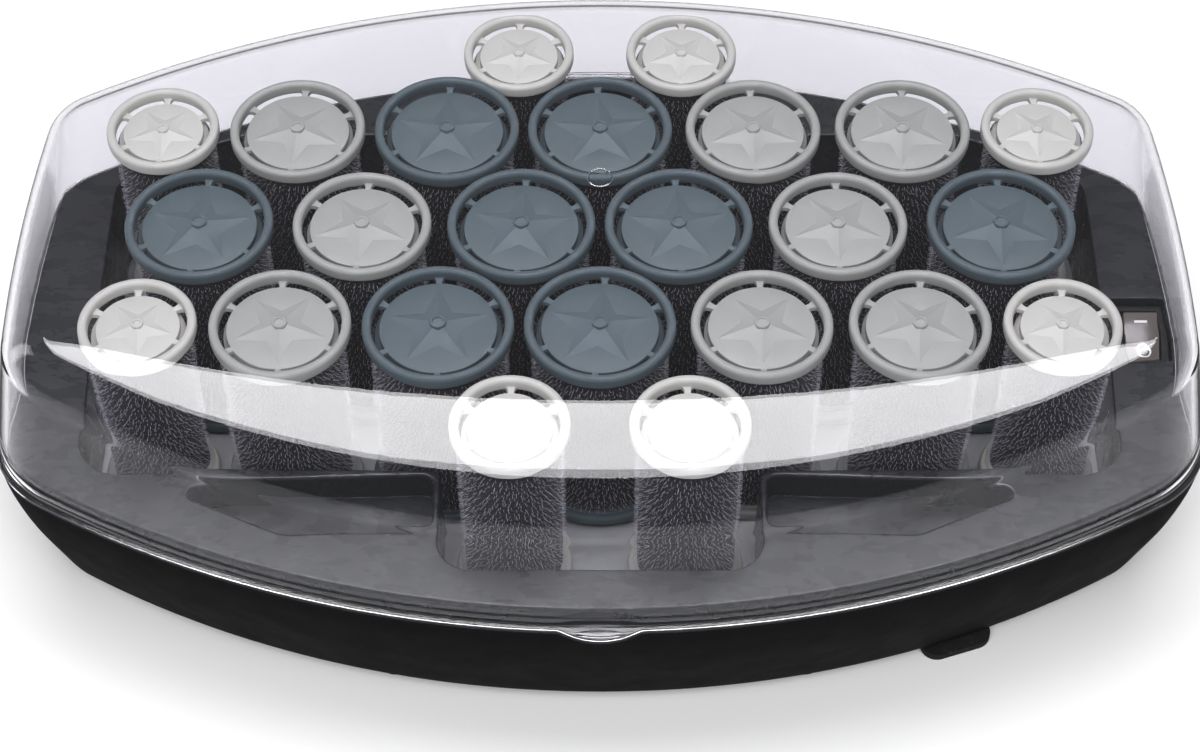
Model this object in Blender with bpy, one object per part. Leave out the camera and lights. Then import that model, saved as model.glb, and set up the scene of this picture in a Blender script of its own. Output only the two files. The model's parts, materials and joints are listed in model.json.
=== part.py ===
"""Heated roller set: a heated base with posts, a hinged clear lid and velvet rollers.

Frame: +X to the right, +Y towards the hinge at the back, +Z up. The origin is on
the table, under the middle of the base. Every length is in metres.
"""
import math

import bmesh
import bpy

# ---- driving dimensions -----------------------------------------------------
GAP = 0.0003                # clearance kept between pieces that rest on each other

# plan outline at the rim: four shallow arcs joined by round corners
HALF_WIDTH = 0.162
FRONT_Y = -0.1013
BACK_Y = 0.0967
END_RADIUS = 0.290          # front and back arcs
SIDE_RADIUS = 0.500         # left and right arcs
SIDE_Y = -0.0190            # where the sides are widest
FRONT_CORNER = 0.030
BACK_CORNER = 0.024

# heights
FOOT_HEIGHT = 0.0027
LEDGE_Z = 0.0560            # top face of the tray
PLATE_TOP_Z = 0.0242        # heater plate, the floor of the well
PLATE_THICKNESS = 0.0022
ROLLER_Z = 0.0245           # underside of every roller
ROLLER_LENGTH = 0.0635
LID_TOP_Z = 0.0970          # lid top, at the edge of the crown
CROWN = 0.0020              # how much higher the middle of the lid is

# lower housing: inset from the plan outline at each height, outside and inside
HOUSING_OUTER = [(0.0030, 0.0155), (0.0060, 0.0125), (0.0150, 0.0090),
                 (0.0300, 0.0040), (0.0430, 0.0010), (0.0500, 0.0005)]
HOUSING_INNER = [(0.0500, 0.0032), (0.0430, 0.0036), (0.0300, 0.0065),
                 (0.0150, 0.0115), (0.0055, 0.0170)]

# tray
TRAY_INSET = 0.0042
TRAY_WALL = 0.0020
TRAY_SKIRT_Z = 0.0460
WELL_HALF_WIDTH = 0.1375
WELL_FRONT_Y = -0.0512
WELL_BACK_Y = 0.0687
WELL_BAY_HALF = 0.0418      # the bays that hold the front and back pairs
WELL_BAY_FRONT_Y = -0.0845
WELL_BAY_BACK_Y = 0.0887
POCKET_DEPTH = 0.0100

# clear lid
LID_WALL = 0.0018
LID_FLANGE_Z = 0.0503
LID_FLANGE = 0.0018         # thickness of the flange
LID_FOOT_INSET = 0.0012     # outside of the wall, just above the flange
LID_SHOULDER_INSET = 0.0070
LID_ROUND = 0.0120          # radius between the wall and the top
CREASE_Y = -0.0630          # where the top starts to slope down, at the middle
CREASE_RADIUS = 0.4200      # plan radius of that line
SLOPE = math.tan(math.radians(27.0))    # slope reached at the shoulder
SLOPE_POWER = 1.6
SLOPE_HALF = 0.1500         # how far from the middle plane the slope fades out
SHOULDER_START = math.radians(10.0)
SHOULDER_STEPS = 5
TAB_WIDTH = 0.0210
TAB_REACH = 0.0030

# hinge
HINGE_Y = 0.1012
HINGE_Z = 0.0460
HINGE_RADIUS = 0.0032
HINGE_BORE = 0.0016
HINGE_PIN = 0.0012
KNUCKLE_HALF = 0.0097
EAR_IN = 0.0102
EAR_OUT = 0.0360

# rollers: ring radius, radius under the sleeve, sleeve radius
ROLLER_KINDS = {
    "large": (0.0198, 0.0162, 0.0182),
    "medium": (0.0185, 0.0146, 0.0166),
    "small": (0.0154, 0.0120, 0.0140),
}
ROW_Y = 0.0057              # middle row
ROW_PITCH = 0.0353
BACK_PAIR_Y = 0.0708
FRONT_PAIR_Y = -0.0624
POST_BORE = 0.0064          # hole up the middle of a roller
POST_FOOT = 0.0052
POST_TIP = 0.0046
POST_TOP_Z = 0.0740

# rocker switch
SWITCH_X = 0.1480
SWITCH_Y = -0.0045
SWITCH_PIVOT_Z = 0.0490
ROCKER_SWING = math.radians(11.0)

# fixings
SCREW_PLACES = [(0.055, -0.0775), (0.1418, -0.0330), (0.052, 0.0732)]
FOOT_PLACES = {             # x, y and the foot's turn in degrees
    "foot_front_left": (-0.0940, -0.0600, -17.0),
    "foot_front_right": (0.0965, -0.0675, 19.0),
    "foot_rear_left": (-0.0880, 0.0580, 17.0),
    "foot_rear_right": (0.0880, 0.0580, -17.0),
}
OUTLET_X = 0.095            # cable outlet in the back wall
OUTLET_Z = 0.0175
OUTLET_BORE = 0.0036


# ---- materials ---------------------------------------------------------------
def make_material(name, colour, roughness, metallic=0.0, alpha=1.0):
    material = bpy.data.materials.new(name)
    material.use_nodes = True
    shader = material.node_tree.nodes["Principled BSDF"]
    shader.inputs["Base Color"].default_value = (*colour, 1.0)
    shader.inputs["Roughness"].default_value = roughness
    shader.inputs["Metallic"].default_value = metallic
    shader.inputs["Alpha"].default_value = alpha
    material.diffuse_color = (*colour, alpha)
    return material


# ---- outlines ------------------------------------------------------------------
def arc(centre, radius, start, end, steps):
    """Points on an arc from start up to, but not including, end."""
    points = []
    for step in range(steps):
        angle = start + (end - start) * step / steps
        points.append((centre[0] + radius * math.cos(angle),
                       centre[1] + radius * math.sin(angle)))
    return points


def corner_centre(end_centre, end_reach, side_centre, side_reach, upper):
    """Centre of the corner arc that lies at a given reach from two arc centres."""
    dx = side_centre[0] - end_centre[0]
    dy = side_centre[1] - end_centre[1]
    apart = math.hypot(dx, dy)
    along = (end_reach ** 2 - side_reach ** 2 + apart ** 2) / (2 * apart)
    across = math.sqrt(end_reach ** 2 - along ** 2)
    turn = 1.0 if upper else -1.0
    return (end_centre[0] + (along * dx - turn * across * dy) / apart,
            end_centre[1] + (along * dy + turn * across * dx) / apart)


def bearing(centre, point):
    return math.atan2(point[1] - centre[1], point[0] - centre[0])


def plan_outline(inset):
    """The rim's plan shape, shrunk inwards by inset, as a counter-clockwise loop."""
    front = (0.0, FRONT_Y + END_RADIUS)
    back = (0.0, BACK_Y - END_RADIUS)
    side = (HALF_WIDTH - SIDE_RADIUS, SIDE_Y)
    low = corner_centre(front, END_RADIUS - FRONT_CORNER,
                        side, SIDE_RADIUS - FRONT_CORNER, True)
    high = corner_centre(back, END_RADIUS - BACK_CORNER,
                         side, SIDE_RADIUS - BACK_CORNER, False)
    front_turn = bearing(front, low)
    side_start = bearing(side, low)
    side_end = bearing(side, high)
    back_turn = bearing(back, high)
    right = arc(front, END_RADIUS - inset, -math.pi / 2, front_turn, 6)
    right += arc(low, FRONT_CORNER - inset, front_turn, side_start, 5)
    right += arc(side, SIDE_RADIUS - inset, side_start, side_end, 4)
    right += arc(high, BACK_CORNER - inset, side_end, back_turn, 5)
    right += arc(back, END_RADIUS - inset, back_turn, math.pi / 2, 6)
    top = (0.0, back[1] + END_RADIUS - inset)
    left = [(-x, y) for x, y in reversed(right[1:])]
    return right + [top] + left


def filleted(corners, grow=0.0):
    """Loop through corners (x, y, radius), each rounded, grown outwards by grow.

    The corners run counter-clockwise; a hollow corner's radius shrinks as the
    loop grows.
    """
    count = len(corners)
    lines = []
    for index in range(count):
        x0, y0, _ = corners[index]
        x1, y1, _ = corners[(index + 1) % count]
        length = math.hypot(x1 - x0, y1 - y0)
        ux, uy = (x1 - x0) / length, (y1 - y0) / length
        lines.append((x0 + uy * grow, y0 - ux * grow, ux, uy))
    points = []
    for index in range(count):
        ax, ay, aux, auy = lines[index - 1]
        bx, by, bux, buy = lines[index]
        turn = aux * buy - auy * bux
        along = ((bx - ax) * buy - (by - ay) * bux) / turn
        x, y = ax + aux * along, ay + auy * along
        side = 1.0 if turn > 0 else -1.0
        radius = corners[index][2] + side * grow
        bend = abs(math.atan2(turn, aux * bux + auy * buy))
        back_off = radius * math.tan(bend / 2)
        cx = x - aux * back_off - auy * radius * side
        cy = y - auy * back_off + aux * radius * side
        start = math.atan2(-aux * side, auy * side)
        steps = max(2, round(bend / math.radians(22.0)))
        points += arc((cx, cy), radius, start, start + side * bend, steps)
        end = start + side * bend
        points.append((cx + radius * math.cos(end), cy + radius * math.sin(end)))
    return points


def well_corners():
    """Plan shape of the well: a wide slot with a bay at the front and at the back."""
    half = WELL_HALF_WIDTH
    bay = WELL_BAY_HALF
    right = [(bay, WELL_BAY_FRONT_Y, 0.009), (bay, WELL_FRONT_Y, 0.003),
             (half, WELL_FRONT_Y - 0.0030, 0.012), (half, 0.0535, 0.013),
             (0.1030, WELL_BACK_Y, 0.016), (bay, WELL_BACK_Y, 0.003),
             (bay, WELL_BAY_BACK_Y, 0.014)]
    left = [(-x, y, radius) for x, y, radius in reversed(right)]
    return right + left


def pocket_corners(side):
    """Plan shape of one clip pocket, a wedge with its thin end outwards."""
    wedge = [(-0.1135, -0.0585, 0.0022), (-0.0821, -0.0732, 0.008),
             (-0.0436, -0.0722, 0.0030), (-0.0436, -0.0532, 0.0030)]
    if side < 0:
        return wedge
    return [(-x, y, radius) for x, y, radius in reversed(wedge)]


# ---- solids ----------------------------------------------------------------------
def finish_mesh(name, bm, material, smooth_angle=35.0):
    """Turn a bmesh into a named object, faces out and round parts smooth."""
    bmesh.ops.recalc_face_normals(bm, faces=bm.faces)
    mesh = bpy.data.meshes.new(name)
    bm.to_mesh(mesh)
    bm.free()
    mesh.shade_smooth()
    mesh.set_sharp_from_angle(angle=math.radians(smooth_angle))
    mesh.materials.append(material)
    obj = bpy.data.objects.new(name, mesh)
    bpy.context.collection.objects.link(obj)
    return obj


def add_loft(bm, rings):
    """Skin between rings of equal length, with a flat cap on the first and last."""
    loops = [[bm.verts.new(point) for point in ring] for ring in rings]
    count = len(loops[0])
    for lower, upper in zip(loops, loops[1:]):
        for index in range(count):
            nearest = (index + 1) % count
            bm.faces.new((lower[index], lower[nearest], upper[nearest], upper[index]))
    bm.faces.new(loops[0])
    bm.faces.new(loops[-1])


def ring_at(outline, z):
    return [(x, y, z) for x, y in outline]


def loft(name, rings, material, smooth_angle=35.0):
    bm = bmesh.new()
    add_loft(bm, rings)
    return finish_mesh(name, bm, material, smooth_angle)


def prism(name, outline, low, high, material):
    """An upright solid with the given plan outline."""
    return loft(name, [ring_at(outline, low), ring_at(outline, high)], material)


def circle(x, y, radius, sides, turn=0.0):
    return arc((x, y), radius, turn, turn + 2 * math.pi, sides)


def rectangle(x, y, width, depth):
    return [(x - width / 2, y - depth / 2), (x + width / 2, y - depth / 2),
            (x + width / 2, y + depth / 2), (x - width / 2, y + depth / 2)]


def sideways(name, profile, x_low, x_high, material):
    """A solid with a (y, z) profile, extruded along X."""
    rings = [[(x, y, z) for y, z in profile] for x in (x_low, x_high)]
    return loft(name, rings, material)


def turned(name, profile, sides, material):
    """Closed solid of revolution about Z from an (r, z) profile.

    The profile starts and ends on its own loop; points at r = 0 become poles.
    """
    bm = bmesh.new()
    rings = []
    for radius, z in profile:
        if radius == 0.0:
            rings.append([bm.verts.new((0.0, 0.0, z))])
        else:
            rings.append([bm.verts.new((x, y, z)) for x, y in circle(0, 0, radius, sides)])
    for ring, following in zip(rings, rings[1:] + rings[:1]):
        if len(ring) == 1 and len(following) == 1:
            continue
        for index in range(sides):
            nearest = (index + 1) % sides
            if len(ring) == 1:
                bm.faces.new((ring[0], following[index], following[nearest]))
            elif len(following) == 1:
                bm.faces.new((ring[index], ring[nearest], following[0]))
            else:
                bm.faces.new((ring[index], ring[nearest], following[nearest], following[index]))
    return finish_mesh(name, bm, material)


def combine(target, tools, operation):
    """Add or cut each tool with an exact Boolean; the tools themselves stay hidden."""
    for tool in tools:
        modifier = target.modifiers.new(f"{operation.lower()}_{tool.name}", "BOOLEAN")
        modifier.operation = operation
        modifier.solver = "EXACT"
        modifier.object = tool
        tool.hide_render = True
        tool.display_type = "WIRE"


def wall_band(name, material):
    """A band round the inside of the housing that trims what would meet its wall."""
    clear = 0.0005
    beyond = plan_outline(-0.005)
    inner = [(0.0450, HOUSING_INNER[1][1])] + HOUSING_INNER[1:]
    rings = [ring_at(beyond, inner[-1][0]), ring_at(beyond, inner[0][0])]
    rings += [ring_at(plan_outline(inset + clear), z) for z, inset in inner]
    bm = bmesh.new()
    loops = [[bm.verts.new(point) for point in ring] for ring in rings]
    count = len(loops[0])
    for lower, upper in zip(loops, loops[1:] + loops[:1]):
        for index in range(count):
            nearest = (index + 1) % count
            bm.faces.new((lower[index], lower[nearest], upper[nearest], upper[index]))
    return finish_mesh(name, bm, material)


def mirrored_places(places):
    return [(side * x, y) for x, y in places for side in (-1.0, 1.0)]


# ---- base -------------------------------------------------------------------------
def make_lower_housing(material):
    rings = [ring_at(plan_outline(inset), z) for z, inset in HOUSING_OUTER]
    rings += [ring_at(plan_outline(inset), z) for z, inset in HOUSING_INNER]
    housing = loft("lower_housing", rings, material)
    added = []
    for side in (-1.0, 1.0):
        turn = arc((HINGE_Y, HINGE_Z), HINGE_RADIUS, math.radians(-120), math.radians(90), 8)
        profile = [(0.09315, 0.0400)] + turn + [(HINGE_Y, HINGE_Z + HINGE_RADIUS),
                                               (0.09315, HINGE_Z + HINGE_RADIUS)]
        low, high = sorted((side * EAR_IN, side * EAR_OUT))
        added.append(sideways(f"ear_{side:+.0f}", profile, low, high, material))
    for index, (x, y) in enumerate(mirrored_places(SCREW_PLACES)):
        added.append(prism(f"screw_pad_{index}", circle(x, y, 0.0052, 10), 0.0045, 0.0080,
                           material))
    collar = turned("outlet_collar", [(0.0, -0.0030), (0.0062, -0.0030), (0.0056, 0.008),
                                      (0.0, 0.008)], 12, material)
    collar.rotation_euler = (math.radians(-90), 0, 0)
    collar.location = (OUTLET_X, 0.0735, OUTLET_Z)
    added.append(collar)
    combine(housing, added, "UNION")
    removed = []
    bore = sideways("hinge_bore", circle(HINGE_Y, HINGE_Z, HINGE_BORE, 10),
                    -EAR_OUT - 0.002, EAR_OUT + 0.002, material)
    removed.append(bore)
    outlet = turned("outlet_bore", [(0.0, -0.020), (OUTLET_BORE, -0.020),
                                    (OUTLET_BORE, 0.020), (0.0, 0.020)], 12, material)
    outlet.rotation_euler = (math.radians(-90), 0, 0)
    outlet.location = (OUTLET_X, 0.0735, OUTLET_Z)
    removed.append(outlet)
    for index, (x, y) in enumerate(mirrored_places(SCREW_PLACES)):
        removed.append(prism(f"screw_head_hole_{index}", circle(x, y, 0.0031, 10),
                             0.0, 0.0055, material))
        removed.append(prism(f"screw_shank_hole_{index}", circle(x, y, 0.0016, 8),
                             0.0050, 0.0120, material))
    combine(housing, removed, "DIFFERENCE")
    return housing


def make_feet(material):
    pad = filleted([(x, y, 0.0045) for x, y in rectangle(0, 0, 0.020, 0.012)])
    for name, (x, y, turn) in FOOT_PLACES.items():
        foot = prism(name, pad, 0.0, FOOT_HEIGHT, material)
        foot.location = (x, y, 0.0)
        foot.rotation_euler = (0.0, 0.0, math.radians(turn))


def make_tray(material):
    outer = [(LEDGE_Z, TRAY_INSET + 0.0018), (LEDGE_Z - 0.0005, TRAY_INSET + 0.0006),
             (LEDGE_Z - 0.0018, TRAY_INSET), (TRAY_SKIRT_Z, TRAY_INSET)]
    inner = [(TRAY_SKIRT_Z, TRAY_INSET + TRAY_WALL),
             (LEDGE_Z - TRAY_WALL, TRAY_INSET + TRAY_WALL + 0.0004)]
    tray = loft("tray", [ring_at(plan_outline(inset), z) for z, inset in outer + inner],
                material)
    under = LEDGE_Z - TRAY_WALL / 2
    added = [prism("well_wall", filleted(well_corners(), TRAY_WALL), ROLLER_Z, under, material)]
    for side in (-1, 1):
        outline = filleted(pocket_corners(side), TRAY_WALL * 0.8)
        added.append(prism(f"pocket_wall_{side:+d}", outline,
                           LEDGE_Z - POCKET_DEPTH - TRAY_WALL, under, material))
    added.append(prism("switch_seat", rectangle(SWITCH_X, SWITCH_Y, 0.0185, 0.0245),
                       0.0500, under, material))
    for index, (x, y) in enumerate(mirrored_places(SCREW_PLACES)):
        added.append(prism(f"screw_boss_{index}", circle(x, y, 0.0032, 10), 0.0083, under,
                           material))
    combine(tray, added, "UNION")
    removed = [prism("well_opening", filleted(well_corners()), 0.0100, 0.0700, material)]
    for side in (-1, 1):
        removed.append(prism(f"pocket_opening_{side:+d}", filleted(pocket_corners(side)),
                             LEDGE_Z - POCKET_DEPTH, 0.0700, material))
    removed.append(prism("switch_recess", rectangle(SWITCH_X, SWITCH_Y, 0.0170, 0.0216),
                         0.0520, 0.0700, material))
    removed.append(prism("switch_hole", rectangle(SWITCH_X, SWITCH_Y, 0.0130, 0.0186),
                         0.0400, 0.0600, material))
    for index, (x, y) in enumerate(mirrored_places(SCREW_PLACES)):
        removed.append(prism(f"screw_pilot_{index}", circle(x, y, 0.0014, 8), 0.0070, 0.0200,
                             material))
    removed.append(wall_band("tray_trim", material))
    combine(tray, removed, "DIFFERENCE")
    return tray


def make_heater_plate(places, material):
    """The plate under the well, cast in one with the post for every roller."""
    low = PLATE_TOP_Z - PLATE_THICKNESS
    plate = prism("heater_plate", filleted(well_corners(), 0.0016), low, PLATE_TOP_Z, material)
    bm = bmesh.new()
    for x, y in places:
        add_loft(bm, [ring_at(circle(x, y, POST_FOOT, 10), PLATE_TOP_Z - 0.0008),
                      ring_at(circle(x, y, POST_TIP, 10), POST_TOP_Z - 0.0015),
                      ring_at(circle(x, y, POST_TIP * 0.55, 10), POST_TOP_Z)])
    posts = finish_mesh("posts", bm, material)
    combine(plate, [posts], "UNION")
    holes = [wall_band("plate_trim", material)]
    for index, (x, y) in enumerate(mirrored_places(SCREW_PLACES)):
        holes.append(prism(f"boss_hole_{index}", circle(x, y, 0.0037, 10), low - 0.005,
                           PLATE_TOP_Z + 0.005, material))
    combine(plate, holes, "DIFFERENCE")
    return plate


def make_heating_element(material):
    """A sheathed element in an oval loop under the plate, with its disc thermostat.

    A strap across the loop carries the thermostat, so they make one unit.
    """
    tube = 0.0026
    top = PLATE_TOP_Z - PLATE_THICKNESS - GAP
    centre_z = top - tube
    depth = 0.084
    path = filleted([(x, y, 0.034) for x, y in rectangle(0.0, 0.002, 0.210, depth)])
    bm = bmesh.new()
    count = len(path)
    rings = []
    for index in range(count):
        heading = bearing(path[index - 1], path[(index + 1) % count])
        side = (math.sin(heading), -math.cos(heading))
        ring = []
        for across, up in circle(0.0, 0.0, tube, 6, math.radians(30)):
            ring.append(bm.verts.new((path[index][0] + side[0] * across,
                                      path[index][1] + side[1] * across, centre_z + up)))
        rings.append(ring)
    for ring, following in zip(rings, rings[1:] + rings[:1]):
        for index in range(6):
            nearest = (index + 1) % 6
            bm.faces.new((ring[index], ring[nearest], following[nearest], following[index]))
    element = finish_mesh("heating_element", bm, material)
    strap = prism("strap", rectangle(0.0, 0.002, 0.0120, depth + 0.002), centre_z - 0.0010,
                  centre_z + 0.0005, material)
    disc = prism("thermostat", circle(0.0, 0.0, 0.0080, 14), centre_z - 0.0080,
                 centre_z + 0.0015, material)
    tabs = []
    for side in (-1.0, 1.0):
        tabs.append(prism(f"terminal_{side:+.0f}", rectangle(side * 0.0042, 0.0, 0.0048, 0.0008),
                          centre_z - 0.0120, centre_z - 0.0070, material))
    combine(element, [strap, disc] + tabs, "UNION")
    return element


# ---- switch ------------------------------------------------------------------------
def make_switch_body(material):
    centre = (SWITCH_X, SWITCH_Y)
    body = prism("switch_body", rectangle(*centre, 0.0122, 0.0178), 0.0400, 0.0530, material)
    bezel = prism("bezel", rectangle(*centre, 0.0162, 0.0208), 0.0523, 0.0537, material)
    added = [bezel]
    for offset in (-0.0048, 0.0048):
        tab = rectangle(SWITCH_X, SWITCH_Y + offset, 0.0048, 0.0008)
        added.append(prism(f"tab_{offset:+.4f}", tab, 0.0330, 0.0405, material))
    combine(body, added, "UNION")
    mouth = prism("rocker_mouth", rectangle(*centre, 0.0102, 0.0162), 0.0442, 0.0700, material)
    combine(body, [mouth], "DIFFERENCE")
    return body


def make_switch_rocker(material):
    """The rocker, drawn level about its pivot and tipped to its off position."""
    profile = [(-0.0066, 0.0060), (-0.0070, 0.0020), (-0.0052, -0.0018), (-0.0022, -0.0032),
               (0.0022, -0.0032), (0.0052, -0.0018), (0.0070, 0.0020), (0.0066, 0.0060),
               (0.0, 0.0046)]
    tipped = []
    for y, z in profile:
        tipped.append((y * math.cos(ROCKER_SWING) - z * math.sin(ROCKER_SWING),
                       y * math.sin(ROCKER_SWING) + z * math.cos(ROCKER_SWING)))
    rocker = sideways("switch_rocker", tipped, -0.0047, 0.0047, material)
    rocker.location = (SWITCH_X, SWITCH_Y, SWITCH_PIVOT_Z)
    return rocker


# ---- lid and hinge --------------------------------------------------------------------
def droop(x, y):
    """How far the lid's top and shoulder are lowered at (x, y), to slope at the front."""
    crease = CREASE_Y + x * x / (2 * CREASE_RADIUS)
    shoulder = FRONT_Y + END_RADIUS - math.sqrt((END_RADIUS - LID_SHOULDER_INSET) ** 2 - x * x)
    width = max(0.0, crease - shoulder)
    if width == 0.0 or y > crease:
        return 0.0
    share = min(1.0, (crease - y) / width)
    fade = max(0.0, 1.0 - abs(x / SLOPE_HALF) ** 8)
    return width * SLOPE / SLOPE_POWER * fade * share ** SLOPE_POWER


def lowered(ring):
    return [(x, y, z - droop(x, y)) for x, y, z in ring]


def shoulder_ring(step, inward):
    """One ring of the shoulder, from its wall (step 0) to its top; inward is from outside."""
    angle = SHOULDER_START + (math.pi / 2 - SHOULDER_START) * step / SHOULDER_STEPS
    radius = LID_ROUND - inward
    outline = plan_outline(LID_SHOULDER_INSET + LID_ROUND - radius * math.cos(angle))
    return ring_at(outline, LID_TOP_Z - LID_ROUND + radius * math.sin(angle))


def lid_skin(inward):
    """Rings down one face of the lid, from the crown's middle to the top of the wall."""
    shoulder = [shoulder_ring(step, inward) for step in range(SHOULDER_STEPS, -1, -1)]
    middle = (FRONT_Y + BACK_Y) / 2
    rings = []
    for share in (0.35, 0.70, 0.88):
        z = LID_TOP_Z - inward + CROWN * (1 - share ** 2) ** 2
        rings.append([(x * share, middle + (y - middle) * share, z) for x, y, _ in shoulder[0]])
    return [lowered(ring) for ring in rings + shoulder]


def make_lid(material):
    flange_top = LID_FLANGE_Z + LID_FLANGE
    rings = lid_skin(0.0)
    rings.append(ring_at(plan_outline(LID_FOOT_INSET), flange_top + 0.0004))
    rings.append(ring_at(plan_outline(0.0), flange_top))
    rings.append(ring_at(plan_outline(0.0), LID_FLANGE_Z))
    rings.append(ring_at(plan_outline(LID_FOOT_INSET + LID_WALL), LID_FLANGE_Z))
    rings += reversed(lid_skin(LID_WALL))
    lid = loft("lid", rings, material)
    bulge = TAB_REACH + (TAB_WIDTH / 2) ** 2 / (2 * END_RADIUS)
    tab_radius = (bulge ** 2 + (TAB_WIDTH / 2) ** 2) / (2 * bulge)
    spread = math.asin(TAB_WIDTH / 2 / tab_radius)
    tab_centre = (0.0, FRONT_Y - TAB_REACH + tab_radius)
    front = arc(tab_centre, tab_radius, -math.pi / 2 - spread, -math.pi / 2 + spread, 8)
    tab_end = (TAB_WIDTH / 2, tab_centre[1] - tab_radius * math.cos(spread))
    tab = front + [tab_end, (TAB_WIDTH / 2 - 0.002, FRONT_Y + 0.0022),
                   (-TAB_WIDTH / 2 + 0.002, FRONT_Y + 0.0022)]
    added = [prism("thumb_tab", tab, LID_FLANGE_Z + 0.0002, flange_top - 0.0002, material)]
    turn = arc((HINGE_Y, HINGE_Z), HINGE_RADIUS, math.radians(60), math.radians(-150), 8)
    web = [(BACK_Y - 0.0022, 0.0518), (BACK_Y + 0.0020, 0.0518)]
    foot = [(HINGE_Y - 0.0030, HINGE_Z), (BACK_Y + 0.0006, 0.0505), (BACK_Y - 0.0022, 0.0505)]
    added.append(sideways("knuckle", web + turn + foot, -KNUCKLE_HALF, KNUCKLE_HALF, material))
    combine(lid, added, "UNION")
    bore = sideways("knuckle_bore", circle(HINGE_Y, HINGE_Z, HINGE_BORE, 10),
                    -KNUCKLE_HALF - 0.002, KNUCKLE_HALF + 0.002, material)
    combine(lid, [bore], "DIFFERENCE")
    return lid


def make_hinge_pin(material):
    return sideways("hinge_pin", circle(HINGE_Y, HINGE_Z, HINGE_PIN, 10),
                    -EAR_OUT + 0.001, EAR_OUT - 0.001, material)


# ---- rollers ----------------------------------------------------------------------------
def roller_layout():
    """(kind, x, y) of every roller, row by row from the back."""
    outer_row = [("small", -0.1200), ("medium", -0.0830), ("large", -0.0420), ("large", 0.0),
                 ("medium", 0.0420), ("medium", 0.0830), ("small", 0.1200)]
    middle_row = [("large", -0.1070), ("medium", -0.0635), ("large", -0.0210),
                  ("large", 0.0210), ("medium", 0.0635), ("large", 0.1070)]
    pair = [("small", -0.0228), ("small", 0.0228)]
    rows = [(BACK_PAIR_Y, pair), (ROW_Y + ROW_PITCH, outer_row), (ROW_Y, middle_row),
            (ROW_Y - ROW_PITCH, outer_row), (FRONT_PAIR_Y, pair)]
    return [(kind, x, y) for y, row in rows for kind, x in row]


def barrel_profile(kind):
    """(r, z) section of a roller core: bottom ring, core, top ring and sunk end disc."""
    ring, core, _ = ROLLER_KINDS[kind]
    return [(POST_BORE, 0.0), (ring - 0.0008, 0.0), (ring, 0.0032), (core, 0.0046),
            (core, ROLLER_LENGTH - 0.0051), (ring, ROLLER_LENGTH - 0.0037),
            (ring, ROLLER_LENGTH - 0.0012), (ring - 0.0014, ROLLER_LENGTH),
            (ring - 0.0032, ROLLER_LENGTH - 0.0023), (0.0, ROLLER_LENGTH - 0.0023),
            (0.0, ROLLER_LENGTH - 0.0038), (POST_BORE, ROLLER_LENGTH - 0.0038)]


def sleeve_profile(kind):
    _, core, sleeve = ROLLER_KINDS[kind]
    low, high = 0.0052, ROLLER_LENGTH - 0.0057
    return [(core + GAP, low), (sleeve, low), (sleeve, high), (core + GAP, high)]


def make_rollers(layout, barrel_materials, sleeve_material):
    meshes = {}
    counts = {}
    for kind, x, y in layout:
        counts[kind] = counts.get(kind, 0) + 1
        name = f"{kind}_roller_{counts[kind]}"
        pivot = bpy.data.objects.new(f"{name}_axis", None)
        pivot.location = (x, y, ROLLER_Z)
        bpy.context.collection.objects.link(pivot)
        if kind not in meshes:
            barrel = turned(f"{name}_barrel", barrel_profile(kind), 12, barrel_materials[kind])
            sleeve = turned(f"{name}_sleeve", sleeve_profile(kind), 12, sleeve_material)
            meshes[kind] = (barrel.data, sleeve.data)
            pieces = [barrel, sleeve]
        else:
            pieces = []
            for part, mesh in zip(("barrel", "sleeve"), meshes[kind]):
                piece = bpy.data.objects.new(f"{name}_{part}", mesh)
                bpy.context.collection.objects.link(piece)
                pieces.append(piece)
        for piece in pieces:
            piece.parent = pivot


# ---- assembly -----------------------------------------------------------------------------
def main():
    for obj in list(bpy.data.objects):
        bpy.data.objects.remove(obj, do_unlink=True)
    black = make_material("black_plastic", (0.012, 0.012, 0.014), 0.45)
    grey = make_material("tray_plastic", (0.060, 0.064, 0.068), 0.50)
    clear = make_material("clear_plastic", (0.90, 0.90, 0.94), 0.05, alpha=0.25)
    steel = make_material("steel", (0.55, 0.55, 0.56), 0.30, metallic=1.0)
    aluminium = make_material("aluminium", (0.75, 0.76, 0.77), 0.38, metallic=1.0)
    rubber = make_material("rubber", (0.010, 0.010, 0.011), 0.70)
    rocker_grey = make_material("rocker_plastic", (0.19, 0.17, 0.16), 0.25)
    velvet = make_material("velvet", (0.012, 0.011, 0.015), 0.95)
    barrels = {
        "large": make_material("slate_plastic", (0.085, 0.110, 0.125), 0.40),
        "medium": make_material("grey_plastic", (0.40, 0.41, 0.39), 0.40),
        "small": make_material("pale_plastic", (0.62, 0.62, 0.59), 0.40),
    }
    layout = roller_layout()
    make_lower_housing(black)
    make_feet(rubber)
    make_tray(grey)
    make_heater_plate([(x, y) for _, x, y in layout], aluminium)
    make_heating_element(steel)
    make_switch_body(black)
    make_switch_rocker(rocker_grey)
    make_lid(clear)
    make_hinge_pin(steel)
    make_rollers(layout, barrels, velvet)


main()
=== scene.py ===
"""Heated roller set: every visible piece, its materials, the studio and the camera."""
import json
import math
import random

import bmesh
import bpy
from mathutils import Matrix, Vector

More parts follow.
